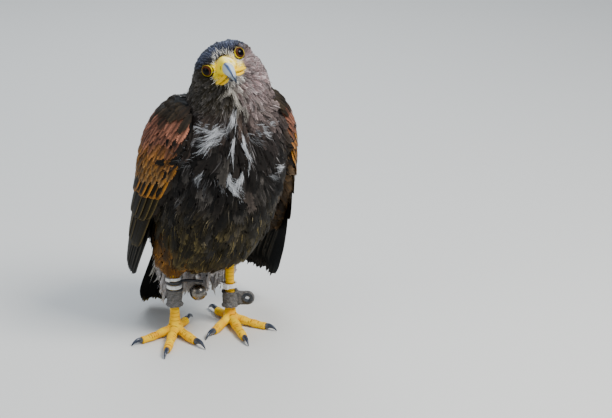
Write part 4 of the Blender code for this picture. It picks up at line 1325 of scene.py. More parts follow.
def wing_row(side, surface, seed, roots, tips, widths, lift, twist, pattern, curve=2.0, spread=0.08):
    """A row of feathers over the wing: roots and tips as (height, angle) for each."""
    share = np.linspace(0, 1, 6)
    heights = roots[:, :1] + (tips[:, :1] - roots[:, :1]) * share[None]
    bow = curve * np.sin(math.pi * share)
    angles = roots[:, 1:] + (tips[:, 1:] - roots[:, 1:]) * share[None] - bow[None]
    shafts, normals = wing_points(side, heights, angles)
    uvs = surface.uv_at(shafts[:, 0])
    return Feathers(pattern, shafts, normals, widths * MM, uvs, seed, lift=lift, camber=0.16, ragged=0.02,
                    twist=twist * side, lift_spread=spread)


def build_wing(side, surface, finish, quill_finish):
    rng = np.random.default_rng(300 + side)
    for number in range(len(WING_ROWS)):
        build_large_row(side, surface, number, rng, quill_finish)
    build_lesser_coverts(side, surface, rng, finish)


def build_large_row(side, surface, number, rng, finish):
    name, count, root_z, *tip_ends, root_angles, tip_angles, width, lift, twist, step = WING_ROWS[number]
    front_z, back_z = tip_ends
    primary = name == "primary"
    f = np.linspace(0, 1, count)
    raised = PRIMARY_RAISE[side] * (1 - 0.5 * f) if primary else 0
    roots = np.stack([np.full(count, root_z), root_angles[0] + (root_angles[1] - root_angles[0]) * f], 1)
    tip_heights = front_z + (back_z - front_z) * f + raised
    tips = np.stack([tip_heights, tip_angles[0] + (tip_angles[1] - tip_angles[0]) * f], 1)
    if primary and side == LEFT:
        tips[:, 0] -= LEFT_DROOP * np.sin(math.pi * f / 2) ** 2
        tips[:, 1] += LEFT_SPREAD * f
        width = width + LEFT_WIDER
    tips[:, 0] += rng.normal(0, 0.4 if primary else 1.6, count) + ROW_WAVE[name] * np.sin(math.pi * f) ** 2
    tips[:, 1] += rng.normal(0, 0.8, count)
    widths = width * np.exp(rng.normal(0, 0.05, count))
    feathers = wing_row(side, surface, 310 + 10 * number + side, roots, tips, widths, lift, twist, VANE)
    if step:
        _, normals = wing_points(side, tips[:, 0], tips[:, 1])
        feathers.points += (normals * (f * count * step * MM * 0.5)[:, None])[:, None] * feathers.t[..., None]
    base, edge, shaft = row_colours(name, side, f)
    colours = feather_colours(feathers, base, edge, edge, shaft, 320 + number, 0.12, EDGE_RIM[name], 0.9)
    feathers.pieces(f"wing_{SIDE_NAMES[side]}_{name}", colours, finish)


def build_lesser_coverts(side, surface, rng, finish):
    """Small rows of coverts up to the shoulder: rufous, then the cape's dark brown."""
    lesser = []
    for row in range(LESSER_ROWS):
        tip_z = LESSER_BOTTOM + (LESSER_TOP - LESSER_BOTTOM) * row / (LESSER_ROWS - 1)
        front, back = core_edges(tip_z)
        count = int((back - front) / 90 * 115 / LESSER_PITCH)
        for k in range(count):
            angle = front + (back - front) * (k + 0.5 * (row % 2)) / (count - 1)
            lesser.append((tip_z + rng.normal(0, 1.5), angle + rng.normal(0, 0.9), 24 - 0.7 * row))
    lesser = np.array(lesser)
    start = 6 * smooth_step(200, 240, lesser[:, 0]) * (side == RIGHT)
    lesser = lesser[lesser[:, 1] > core_edges(lesser[:, 0])[0] + start]
    tips, lengths = lesser[:, :2], lesser[:, 2]
    count = len(tips)
    roots = tips + np.stack([lengths, -rng.normal(3.0, 1.0, count)], 1)
    roots[:, 0] = np.minimum(roots[:, 0], WING_SHAPE[-1][0] - 1)
    feathers = wing_row(side, surface, 350 + side, roots, tips, lengths * 0.46, (-4.6, 0.4), 0.12, SOFT, 0.5,
                        0.12)
    back = smooth_step(112, 136, tips[:, 1] + rng.normal(0, 5, count))
    upper = smooth_step(208, 246, tips[:, 0] + rng.normal(0, 5, count))
    cape = smooth_step(257, 267, tips[:, 0] + rng.normal(0, 4, count))
    edge = layered(RUFOUS, (RUFOUS_DEEP, upper), (OLIVE, back), (CAPE, cape))
    base = edge * (0.42 + 0.40 * upper[:, None])
    low = (1 - smooth_step(205, 226, tips[:, 0])) * (1 - back)
    tip = blend(edge * 1.1, COVERT_TIP, 0.6 * low)
    colours = feather_colours(feathers, base, edge, tip, MANTLE * 0.7, 360, 0.26)
    feathers.pieces(f"wing_{SIDE_NAMES[side]}_lesser", colours, finish)


def row_colours(name, side, f):
    """Ground, edge and shaft colours for the feathers of a row; f runs from the wing's front to its back."""
    if name == "primary":
        return QUILL, QUILL_EDGE, QUILL * 0.8
    if name == "secondary":
        base = blend(OLIVE, QUILL * 1.5, smooth_step(0.35, 0.8, f))
        if side == LEFT:
            base = blend(SOFT_BROWN, base, smooth_step(0.3, 0.6, f))
        return base, blend(PALE_EDGE * 0.6, QUILL_EDGE, smooth_step(0.3, 0.8, f)), QUILL
    rust = 1 - smooth_step(0.28, 0.62, f)
    if name == "greater":
        base = blend(QUILL * 1.2, SOFT_BROWN if side == LEFT else OLIVE * 0.8, rust)
        return base, blend(OLIVE, PALE_EDGE * 0.6, rust), QUILL
    return blend(MANTLE, OLIVE * 0.7, rust), blend(OLIVE, RUFOUS * 1.3, rust), QUILL * 0.7


# Tail

TAIL_ROOT = (2, 36, 156)
TAIL_TIP = (-26, 82, 3)
TAIL_FEATHERS = 12
TAIL_WIDTH = 24
TAIL_FAN = 3.6
# Coverts of the tail: name, seed, start, height at the root, heights at the tip, lengths, widths, the shaft's
# brightness, raggedness
TAIL_COVERT_COUNT = 46
TAIL_COVERTS = (
    ("upper_coverts", 403, 4, 5.0, (13.5, 15.5), (40, 66), (10, 14), 0.4, 0.09),
    ("under_coverts", 404, 6, -2.0, (-9, -4), (58, 92), (11, 15), 0.45, 0.11),
)


def build_tail(surface, finish, quill_finish):
    root = np.array(TAIL_ROOT, float)
    along = np.array((Vector(TAIL_TIP) - Vector(TAIL_ROOT)).normalized())
    length = (Vector(TAIL_TIP) - Vector(TAIL_ROOT)).length
    out = unit(np.cross((1, 0, 0), along))
    across = np.cross(along, out)

    def row(name, seed, pattern, places, start, reach, headings, lows, highs, widths, tints, made_of,
            ragged=0.02):
        """A row of feathers: their places across, where they start, and how high they lie at both ends."""
        count = len(places)
        share = np.linspace(0, 1, 5)
        turn = np.radians(headings)
        ahead = along[None] * np.cos(turn)[:, None] + across[None] * np.sin(turn)[:, None]
        points = root + along * start + (across[None] * np.asarray(places)[:, None])[:, None]
        points = points + ahead[:, None] * (reach[:, None] * share[None])[..., None]
        rise = lows + (highs - lows)[:, None] * np.minimum(1, share * 2)[None]
        points = points + out * rise[..., None]
        ups = np.broadcast_to(out, points.shape) * np.sign(highs)[:, None, None]
        shafts = points * MM + np.array(ORIGIN)
        uvs = surface.uv_at(shafts[:, 0])
        feathers = Feathers(pattern, shafts, ups, widths * MM, uvs, seed, lift=(0, 0.4),
                            camber=0.10, ragged=ragged)
        base, edge, shaft = tints
        colours = feather_colours(feathers, base, edge, edge, shaft, seed, 0.22)
        if name == "quills":
            colours = layered(
                colours,
                (PALE_EDGE * 0.7, smooth_step(0.965, 1.0, feathers.t)),
                (WHITE * 0.6, 1 - smooth_step(0.12, 0.22, feathers.t)),
            )
        feathers.pieces(f"tail_{name}", colours, made_of, ("tail",))

    order = np.arange(TAIL_FEATHERS) - (TAIL_FEATHERS - 1) / 2
    layers = (TAIL_FEATHERS - 1 - 2 * np.abs(order) + (order > 0)) * 1.0
    fan = TAIL_FAN * order / (TAIL_FEATHERS / 2)
    row("quills", 401, VANE, order, 0, length * (1 - 0.006 * np.abs(order)), fan, 0.3, 0.3 + layers,
        np.full(TAIL_FEATHERS, float(TAIL_WIDTH)), (QUILL, QUILL * 1.8, QUILL * 0.7), quill_finish)
    rng = np.random.default_rng(402)
    places = rng.uniform(-10, 10, TAIL_COVERT_COUNT)
    for name, seed, start, low, high, reach, width, shaft, ragged in TAIL_COVERTS:
        highs = rng.uniform(*high, len(places))
        row(name, seed, LARGE, places, start, rng.uniform(*reach, len(places)), places * 0.5, low, highs,
            rng.uniform(*width, len(places)), (WHITE * 0.6, WHITE * 0.8, WHITE * shaft), finish, ragged)


# Face

# Sections along the head's -Y: distance ahead, centre z, half width, half height above, below
CERE = (
    (12, 0.6, 16.5, 11.2, 12.0),
    (20, 0.4, 14.0, 11.0, 11.2),
    (27, -0.3, 11.2, 10.2, 9.8),
    (32, -1.0, 9.0, 9.4, 8.6),
    (36.5, -1.9, 7.4, 8.8, 7.4),
    (39.5, -2.5, 6.6, 8.1, 6.6),
    (40.6, -2.6, 6.0, 7.5, 6.0),
)
LOWER_BILL = (
    (26, -13.0, 6.6, 2.8, 3.2),
    (36, -13.6, 5.8, 2.6, 3.0),
    (43, -13.6, 4.4, 2.4, 2.6),
    (47, -13.2, 2.8, 1.9, 1.8),
    (49, -12.9, 1.0, 0.9, 0.7),
)
BILL_ROOT, BILL_REACH, BILL_DROP, BILL_BEND = 39.6, 16.9, 16.6, 86
BILL_HALF_WIDE, BILL_HALF_TALL, BILL_TIP = 6.0, 7.6, 0.35
NOSTRIL, NOSTRIL_SIZE = (6.9, -34.6, 1.6), (1.5, 2.3)
NOSTRIL_DEEP, NOSTRIL_RIM = 1.5, 0.25
GAPE = ((4.6, -37.5, -7.4), (9.6, -32.8, -9.2), (14.2, -27.4, -11.0), (18.6, -22.0, -12.2))
GAPE_RADII = (1.8, 1.9, 1.6, 0.9)
GAPE_LOWER = ((4.4, -38.0, -12.2), (7.8, -33.5, -13.6), (11.2, -28.0, -14.6), (14.0, -24.0, -15.0))
GAPE_LOWER_RADII = (1.0, 1.5, 1.4, 0.8)
EYE_RADIUS = 7.5
LID_LIFT, LID_RING, LID_THICK, LID_SKIRT = 4.4, 6.1, 0.38, (0.4, 1.8)
PUPIL_ANGLE, IRIS_ANGLE = 32, 52
BRISTLE_SPACING, BRISTLE_LENGTH, BRISTLE_WIDTH = 0.78, (2.0, 7.5), (0.16, 0.32)

HORN = tone(178, 192, 200)
# A darker line along the bill's ridge, its blue a painted reflection of the sky
HORN_RIDGE_SKY_REFLECTION = tone(30, 54, 98)
HORN_TIP = tone(16, 24, 40)
YELLOW = tone(248, 220, 0)
YELLOW_DEEP = tone(236, 176, 0)
# Painted light on the cere: a paler yellow on its top and a white highlight on its upper left side
YELLOW_TOP_LIGHT = tone(255, 232, 150)
CERE_HIGHLIGHT = tone(252, 246, 222)
# Painted shade inside the nostril's opening
NOSTRIL_SHADE = tone(58, 34, 14)
LID_DARK = tone(60, 40, 14)
# Painted shade on the lid under the brow
LID_BROW_SHADE = tone(126, 96, 36)
PUPIL = tone(2, 2, 3)
IRIS = tone(60, 30, 13)
EYE_EDGE = tone(20, 12, 8)


def tube_rings(points, radii, sides, floor=None):
    """Rings round a path; radii vary along it, and nothing goes under floor."""
    rings = []
    last = len(points) - 1
    for i, (point, radius) in enumerate(zip(points, radii)):
        tangent = (points[min(i + 1, last)] - points[max(i - 1, 0)]).normalized()
        side = tangent.cross(Vector((0, 0, 1)))
        side = side.normalized() if side.length > 0.05 else Vector((1, 0, 0))
        up = side.cross(tangent)
        ring = []
        for j in range(sides):
            angle = 2 * math.pi * (j + 0.5) / sides
            p = point + side * radius * math.cos(angle) + up * radius * math.sin(angle)
            if floor is not None:
                p.z = max(p.z, floor)
            ring.append(p)
        rings.append(ring)
    return rings


def smooth_path(points, count):
    """A rounded path through a few points."""
    table = [(i, *p) for i, p in enumerate(points)]
    return [Vector(p) for p in between(table, np.linspace(0, len(points) - 1, count))]


def place_all(obj, matrix):
    obj.data.transform(matrix)
    obj.data.update()
    return obj


def head_loft(name, sections, rings, sides, finish, narrow=0.0):
    """A closed form along the head's -Y, narrower towards its top."""
    made = []
    places = np.linspace(sections[0][0], sections[-1][0], rings)
    for ahead, (z, wide, above, below) in zip(places, between(sections, places)):
        ring = []
        for angle in turns(sides):
            rise = math.sin(angle)
            x = wide * math.cos(angle) * (1 - narrow * max(0.0, rise))
            ring.append((x, -ahead, z + (above if rise > 0 else below) * rise))
        made.append(ring)
    return loft(name, made, finish)


def dress(obj, replaces=()):
    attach(obj, "root")
    if replaces:
        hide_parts(*replaces)
    return obj


def join_meshes(name, objects):
    """Joins objects' meshes into the first, which takes the name."""
    work = bmesh.new()
    for obj in objects:
        work.from_mesh(obj.data)
    first = objects[0]
    work.to_mesh(first.data)
    work.free()
    for obj in objects[1:]:
        bpy.data.objects.remove(obj)
    first.name = name
    return first


def build_cere(finish):
    cere = head_loft("cere_form", CERE, 44, 96, finish, 0.34)
    gapes = []
    for side in (LEFT, RIGHT):
        for line, widths in ((GAPE, GAPE_RADII), (GAPE_LOWER, GAPE_LOWER_RADII)):
            path = smooth_path([mirrored(p, side) for p in line], 20)
            radii = between(list(enumerate(widths)), np.linspace(0, 3, 20))[:, 0]
            gapes.append(loft("gape", tube_rings(path, radii, 12), finish))
    cere = join_meshes("cere_skin", [cere] + gapes)
    points = points_of(cere.data)
    x, _, z = points.T
    # Painted light: the cere paler on its top and white on its upper left side, where the light falls
    white = smooth_step(0, 5, x) * smooth_step(-7, 0, z) * (0.55 + 0.45 * wave(points * MM, 5, 15)).clip(0, 1)
    colours = layered(
        YELLOW,
        (YELLOW_DEEP, 0.6 * smooth_step(-3, -9, z)),
        (YELLOW_TOP_LIGHT, smooth_step(4, 9, z) * 0.25),
        (CERE_HIGHLIGHT, 0.75 * white),
    )
    for side in (LEFT, RIGHT):
        offset = (points - np.array(mirrored(NOSTRIL, side))) / np.array([9, NOSTRIL_SIZE[0],
                                                                          NOSTRIL_SIZE[1]])
        near = np.where(points[:, 0] * side > 0, np.linalg.norm(offset, axis=1), 9)
        pit = 1 - smooth_step(0.55, 1.05, near)
        points[:, 0] -= side * NOSTRIL_DEEP * pit
        points[:, 0] += side * NOSTRIL_RIM * np.exp(-(((near - 1.25) / 0.3) ** 2))
        # Painted shade: the nostril's pit is painted dark, as the shade inside its opening
        colours = blend(colours, NOSTRIL_SHADE, pit)
    set_points(cere.data, points)
    paint(cere.data, colours)
    dress(place_all(cere, HEAD), ("cere",))


def build_bill(finish):
    count, sides = 36, 40
    rings = []
    for t in np.arange(count) / (count - 1):
        angle = math.radians(BILL_BEND) * t
        centre = Vector((0, -BILL_ROOT - BILL_REACH * math.sin(angle),
                         -2.5 - BILL_DROP * (1 - math.cos(angle))))
        up = Vector((0, -math.sin(angle), math.cos(angle)))
        wide = BILL_HALF_WIDE * (1 - t**1.8) + BILL_TIP
        tall = BILL_HALF_TALL * (1 - t**1.3) + BILL_TIP
        tooth = 0.10 * math.exp(-(((t - 0.45) / 0.12) ** 2))
        ring = []
        for turn in turns(sides):
            rise = math.sin(turn)
            x = wide * math.cos(turn) * (1 - 0.30 * max(0.0, rise) ** 1.5)
            ring.append(centre + Vector((x, 0, 0)) + up * tall * rise * (1 - tooth * max(0.0, -rise) ** 2))
        rings.append(ring)
    upper = loft("bill_upper_horn", rings, finish)
    along = np.repeat(np.arange(count) / (count - 1), sides)
    ridge = np.tile(np.sin(turns(sides)), count)
    dark = smooth_step(0.45, 1.0, along + 0.08 * wave(points_of(upper.data) * MM, 6, 61))
    # The horn is pale and dark at the tip; the ridge's dark blue line is partly darker horn and partly a
    # painted reflection of the sky
    paint(upper.data, layered(HORN, (HORN_RIDGE_SKY_REFLECTION, smooth_step(0.84, 0.99, ridge) * 0.95), (HORN_TIP, dark)))
    dress(place_all(upper, HEAD), ("bill_upper",))
    lower = head_loft("bill_lower_horn", LOWER_BILL, 24, 32, finish)
    paint(lower.data, blend(HORN * 0.8, HORN_TIP, smooth_step(-34, -47, points_of(lower.data)[:, 1])))
    dress(place_all(lower, HEAD), ("bill_lower",))


def build_eye(side, finish, lid_finish):
    label = SIDE_NAMES[side]
    aim = mirrored(EYE_AIM, side).normalized()
    turn = aim.to_track_quat("Z", "Y").to_matrix().to_4x4()
    rings = []
    for i in range(48):
        polar = math.radians(0.4 + 179.2 * i / 47)
        radius = EYE_RADIUS * (1 + 0.03 * math.exp(-((polar / 0.5) ** 2)))
        rings.append(circle(radius * math.sin(polar), 48, radius * math.cos(polar)))
    eye = loft(f"eyeball_{label}", rings[::-1], finish)
    x, y, z = points_of(eye.data).T
    angle = np.degrees(np.arctan2(np.hypot(x, y), z))
    around = np.arctan2(y, x)
    fibres = 1 + 0.22 * np.sin(around * 23 + 2 * np.sin(around * 7)) * smooth_step(PUPIL_ANGLE, IRIS_ANGLE,
                                                                                   angle)
    iris = IRIS * fibres[:, None]
    iris = layered(
        iris,
        (iris * 1.9, 1 - smooth_step(PUPIL_ANGLE, PUPIL_ANGLE + 9, angle)),
        (EYE_EDGE, smooth_step(IRIS_ANGLE - 7, IRIS_ANGLE, angle)),
    )
    paint(eye.data, blend(PUPIL, iris, smooth_step(PUPIL_ANGLE - 1.5, PUPIL_ANGLE + 1, angle)))
    centre = mirrored(EYE_CENTRE, side)
    dress(place_all(eye, HEAD @ Matrix.Translation(centre) @ turn), (f"eye_{label}",))
    lid = build_lid(f"eyelid_{label}", turn, lid_finish)
    dress(place_all(lid, HEAD @ Matrix.Translation(centre + aim * LID_LIFT) @ turn))


def build_lid(name, turn, finish):
    """The bare rim round an eye, with a skirt that closes the gap behind it, and painted shade under the
    brow.
    """
    profile = []
    for a in turns(12):
        skirt = 2 * max(0.0, math.cos(a)) * max(0.0, -math.sin(a))
        out = LID_RING + LID_THICK * 1.1 * math.cos(a) + LID_SKIRT[0] * skirt
        profile.append((out, LID_THICK * math.sin(a) - LID_SKIRT[1] * skirt))
    lid = turned_ring(name, profile, finish, 64)
    points = points_of(lid.data)
    around = np.arctan2(points[:, 1], points[:, 0])
    points[:, 2] += (0.16 * np.sin(around * 19) + 0.12 * np.sin(around * 31 + 1)) * 0.5
    points[:, 1] *= 0.95
    set_points(lid.data, points)
    inner = 1 - smooth_step(LID_RING - 0.9, LID_RING - 0.2, np.hypot(points[:, 0], points[:, 1]))
    # Painted shade: the lid's upper side is darker under the brow
    brow = np.array((turn.inverted() @ Vector((0, 0.35, 1)))[:2])
    above = smooth_step(0.1, 0.9, points[:, :2] @ brow / (np.linalg.norm(brow) * LID_RING))
    paint(lid.data, layered(YELLOW * 0.52, (LID_DARK, inner * 0.8), (LID_BROW_SHADE, 0.75 * above)))
    return lid


def circle(radius, count, height=0.0, centre=(0.0, 0.0)):
    """Points of a level circle."""
    return [(centre[0] + radius * math.cos(a), centre[1] + radius * math.sin(a),
             height) for a in turns(count)]


def turned_ring(name, profile, finish, sides):
    """A closed ring turned about Z from a closed (radius, height) outline."""
    points = [point for radius, height in profile for point in circle(radius, sides, height)]
    obj = mesh_object(name, points, grid_faces(len(profile), sides, close_rows=True), finish)
    face_outwards(obj.data)
    return obj


def face_outwards(mesh):
    work = bmesh.new()
    work.from_mesh(mesh)
    bmesh.ops.recalc_face_normals(work, faces=work.faces)
    if work.calc_volume(signed=True) < 0:
        bmesh.ops.reverse_faces(work, faces=work.faces)
    work.to_mesh(mesh)
    work.free()


def build_bristles(surface, finish):
    """Fine pale bristles over the bare skin between the bill and the eyes, and under the bill."""
    points, normals, uvs = surface.scatter(every(BRISTLE_SPACING), 501)
    local = in_head(points)
    bill, eye, lore = bill_clearance(local), eye_clearance(local), lore_share(local)
    x, z = local[:, 0], local[:, 2]
    rng = np.random.default_rng(502)
    rim = 0.55 * np.exp(-(((lore - 0.35) / 0.2) ** 2)) * smooth_step(0.02, 0.15, lore)
    forehead = 0.7 * (bill < 4.5) * smooth_step(5, 9, z) * (np.abs(x) < 11)
    white_side = smooth_step(1, 6, x) * smooth_step(-7, -1, z)
    chance = (0.14 + 0.62 * white_side) * lore + rim + forehead + 0.3 * smooth_step(-11, -15, z) * (bill < 6)
    keep = (bill > 0.5) & (eye > 0.4) & (bill < 12) & (rng.random(len(points)) < chance)
    points, normals, uvs, z = only(keep, points, normals, uvs, z)
    lengths = rng.uniform(*BRISTLE_LENGTH, len(points))
    lengths = lengths * (0.6 + 0.5 * smooth_step(-2, 8, z) + 0.3 * smooth_step(-8, -14, z)) * MM
    shafts, ups = surface.lay(points, normals, lengths, lie, 2)
    shafts[:, 1:] += rng.normal(0, 0.5 * MM, shafts[:, 1:].shape)
    shafts[:, 2:] += rng.normal(0, 0.8 * MM, shafts[:, 2:].shape)
    widths = rng.uniform(*BRISTLE_WIDTH, len(points)) * MM
    bristles = Feathers(WISP, shafts, ups, widths, uvs, 503, lift=(0.0, 2.0), camber=0, ragged=0.0,
                        lift_spread=0.4)
    colours = feather_colours(bristles, BRISTLE, BRISTLE, BRISTLE, BRISTLE * 0.8, 504, 0.2)
    bristles.pieces("bristles", colours, finish)


# Legs and feet

FOOT_TURN = {LEFT: 12, RIGHT: 32}
FOOT_FORM = ((0, 6.8), (3, 8.4), (8, 8.6), (13, 7.2), (20, 6.0))
# Toe: name, heading from straight ahead towards the outside, length, base and tip radius, claw length, joints
TOES = (
    ("hallux", 196, 30, 5.7, 4.9, 24, 1.0),
    ("inner", -42, 40, 5.8, 5.0, 22, 1.5),
    ("middle", 2, 57, 6.0, 4.8, 19, 2.5),
    ("outer", 48, 46, 5.4, 4.5, 16, 3.0),
)
TARSUS_FORM = ((12, 6.6), (19, 6.0), (30, 5.4), (50, 5.1), (84, 5.6))
SCUTE_PITCH = {"toe": 3.0, "tarsus": 4.6}
SCUTE_HIGH = 0.42
LEG_VOXEL = 0.62
# How deep a claw sits in its toe, and how far its underside stays above the floor
CLAW_SINK, CLAW_CLEAR = 1.2, 0.2
LEG_YELLOW = tone(246, 200, 0)
LEG_DEEP = tone(220, 138, 0)
LEG_PALE = tone(248, 204, 40)
LEG_GROOVE = tone(150, 84, 10)
LEG_SOLE = tone(176, 116, 28)
CLAW = tone(42, 50, 66)
CLAW_BASE = tone(74, 82, 94)


def toe_path(side, heading, length, radius):
    turn = math.radians(heading * side - FOOT_TURN[side])
    ahead = Vector((math.sin(turn), -math.cos(turn), 0))
    start = Vector((FOOT_X * side, 0, 0))
    points = []
    for s in np.linspace(0, 1, 30):
        arch = 5.4 * (1 - s) ** 2.6 + 0.5 * math.sin(math.pi * s) ** 2
        points.append(start + ahead * (3 + (length - 3) * s) + Vector((0, 0, radius * 0.80 + arch)))
    return points, ahead


def build_leg(side, finish, claw_finish):
    """A foot and tarsus in one skin of scutes.

    Each of the samples is a point along a toe or the tarsus, how far along it lies, and 1 on the tarsus.
    """
    label = SIDE_NAMES[side]
    parts, samples = [], []
    for name, heading, length, base, tip, claw, joints in TOES:
        points, ahead = toe_path(side, heading, length, (base + tip) / 2)
        radii = []
        for s, point in zip(np.linspace(0, 1, len(points)), points):
            knuckle = 1 + 0.07 * math.cos(2 * math.pi * s * joints)
            radii.append((base + (tip - base) * s) * 0.93 * knuckle)
            samples.append((*point, s * length, 0.0))
        parts.append(loft("toe", tube_rings(points, radii, 16, floor=0.0), finish))
        build_claw(f"claw_{label}_{name}", points, ahead, tip, claw, claw_finish)
    for form, count in ((FOOT_FORM, 12), (TARSUS_FORM, 30)):
        heights = np.linspace(form[0][0], form[-1][0], count)
        radii = between(form, heights)[:, 0]
        rings = [circle(radius, 24, height, (FOOT_X * side, 0)) for height, radius in zip(heights, radii)]
        parts.append(loft("shank", rings, finish))
        if form is TARSUS_FORM:
            samples += [(FOOT_X * side, 0, height, height, 1.0) for height in heights]
    leg = closed_hull(f"leg_{label}", [p.data for p in parts], LEG_VOXEL, 3)
    for part in parts:
        bpy.data.objects.remove(part)
    leg.data.shade_smooth()
    leg.data.materials.append(finish)
    points, normals = points_of(leg.data), normals_of(leg.data)
    table = np.array(samples)
    found = table[np.concatenate([
        np.argmin(np.linalg.norm(chunk[:, None] - table[None, :, :3], axis=2), axis=1)
        for chunk in np.array_split(points, 20)
    ])]
    on_tarsus = found[:, 4] > 0.5
    ahead_of = np.where(on_tarsus, points[:, 2], found[:, 3] + 0.5 * wave(points * MM, 12, 81))
    phase = np.mod(ahead_of / np.where(on_tarsus, SCUTE_PITCH["tarsus"], SCUTE_PITCH["toe"]), 1)
    phase = np.where(on_tarsus, 1 - phase, phase)
    plate = phase**1.3 * (1 - smooth_step(0.90, 1.0, phase))
    top = np.where(on_tarsus, smooth_step(0.1, 0.5, np.abs(normals[:, 1])),
                   smooth_step(-0.15, 0.35, normals[:, 2]))
    rise = SCUTE_HIGH * (plate - 0.3) * top + 0.10 * wave(points * MM, 1.8, 82) * (1 - 0.6 * top)
    lifted = points + normals * rise[:, None]
    lifted[:, 2] = np.maximum(lifted[:, 2], 0.0)
    set_points(leg.data, lifted * MM + np.array(ORIGIN))
    leg.data.update()
    groove = (1 - smooth_step(0.02, 0.16, phase) + smooth_step(0.90, 1.0, phase)) * top
    paint(leg.data, layered(
        LEG_YELLOW,
        (LEG_DEEP, 0.3 + 0.3 * wave(points * MM, 15, 83)),
        (LEG_PALE, 0.35 * plate * top),
        (LEG_GROOVE, 0.75 * np.clip(groove, 0, 1)),
        (LEG_SOLE, 0.5 * (1 - smooth_step(0.0, 3.0, points[:, 2]))),
    ))
    dress(leg, (f"foot_{label}", f"tarsus_{label}"))


def build_claw(name, points, ahead, radius, length, finish):
    tangent = (points[-1] - points[-2]).normalized()
    start = points[-1] - tangent * CLAW_SINK
    bend, lift = math.radians(82), math.radians(26)
    curve = length / bend
    path, radii = [], []
    for s in np.linspace(0, 1, 22):
        angle = lift - bend * s
        reach = curve * (math.sin(lift) - math.sin(angle)) + CLAW_SINK
        path.append(start + ahead * reach + Vector((0, 0, curve * (math.cos(angle) - math.cos(lift)))))
        radii.append(radius * 0.72 * (1 - s**1.25) ** 0.85 + 0.22)
    low = min(p.z - r for p, r in zip(path, radii))
    last = len(path) - 1
    if low < CLAW_CLEAR:
        for i, p in enumerate(path):
            p.z += (CLAW_CLEAR - low) * i / last
    side = ahead.cross(Vector((0, 0, 1))).normalized()
    rings = []
    for i, (p, r) in enumerate(zip(path, radii)):
        up = side.cross((path[min(i + 1, last)] - path[max(i - 1, 0)]).normalized()).normalized()
        rings.append([
            p + side * r * 0.80 * math.cos(a) * (1 - 0.2 * max(0, -math.sin(a))) + up * r * math.sin(a)
            for a in turns(24)
        ])
    claw = loft(name + "_horn", rings, finish)
    share = np.repeat(np.linspace(0, 1, len(rings)), 24)
    paint(claw.data, blend(CLAW_BASE, CLAW, smooth_step(0.0, 0.35, share)))
    place_all(claw, Matrix.Translation(ORIGIN) @ Matrix.Scale(MM, 4))
    dress(claw, (name,))


# What the bird wears

# Anklets: bottom, top, and the heading and reach of the tab that carries the eyelet
ANKLET = {LEFT: (22, 40, 62, 18), RIGHT: (36, 55.5, 155, 14)}
LEG_GAP_RADIUS = 6.3
ANKLET_WALL, ANKLET_FLARE = 2.4, 1.2
TAB_THICK, TAB_HALF = 4.2, 8.4
EYELET_BORE, EYELET_HOLE, EYELET_RIM, EYELET_DEEP, EYELET_INSET = 4.6, 2.7, 6.6, 6.4, 4.4
FRAY_COUNT, FRAY_LENGTH, FRAY_HALF_WIDTH = 420, (0.8, 2.2), (0.10, 0.22)
# Plain rings round a leg: name, side, bottom, top, wall, finish
BANDS = (
    ("band_left", LEFT, 45, 50, 2.0, "band"),
    ("band_right", RIGHT, 57, 61.5, 2.6, "band"),
    ("tie_right", RIGHT, 67, 70.5, 1.6, "band"),
    ("bell_strap_right", RIGHT, 62.3, 66.2, 1.6, "strap"),
)
CLIP_HEADINGS, CLIP_SIZE = {"tie_right": -75, "band_left": -55}, (3.4, 6.2)
BELL_CENTRE = (-11, -12, 51)
BELL_RADIUS, BELL_WALL = 9.6, 0.9
BELL_SLIT, BELL_SLIT_END = (12.5, 1.3, 8), 6.2
BELL_TILT = 18
GAP = 0.3
LEATHER = tone(112, 112, 112)
LEATHER_DARK = tone(62, 62, 62)


def leg_matrix(side, heading=0.0, height=0.0):
    """A frame on a leg's axis, with its X turned to heading, measured from straight ahead to the left."""
    turn = math.radians(heading - 90)
    place = Matrix.Translation((FOOT_X * side, 0, height))
    return Matrix.Translation(ORIGIN) @ Matrix.Scale(MM, 4) @ place @ Matrix.Rotation(turn, 4, "Z")


def rounded_outline(inner, outer, bottom, top, radius):
    """A closed (radius, height) outline of a ring's wall with rounded edges."""
    corners = ((outer - radius, bottom + radius, -90), (outer - radius, top - radius, 0),
               (inner + radius, top - radius, 90), (inner + radius, bottom + radius, 180))
    outline = []
    for r, h, start in corners:
        for a in np.radians(np.linspace(start, start + 90, 5)):
            outline.append((r + radius * math.cos(a), h + radius * math.sin(a)))
    return outline


def pierced_tab(name, start, thick, half, hole_at, hole, finish):
    """A flat tab along X with a round end and a round hole through its Y."""
    sides, layers = 64, 7
    outline = []
    for x, z, _ in circle(1.0, sides):
        reach = half if x > 0 else min(half / max(abs(z), 1e-6), (hole_at - start) / max(-x, 1e-6))
        outline.append((x, z, reach))
    points = []
    depths = np.linspace(-thick / 2, thick / 2, layers)
    for depth in depths:
        swell = 1 - 0.10 * (abs(depth) / (thick / 2)) ** 3
        points += [(hole_at + x * reach * swell, depth, z * reach * swell) for x, z, reach in outline]
    for depth in depths[::-1]:
        points += [(hole_at + x * hole, depth, z * hole) for x, z, _ in outline]
    obj = mesh_object(name, points, grid_faces(2 * layers, sides, close_rows=True), finish)
    face_outwards(obj.data)
    return obj


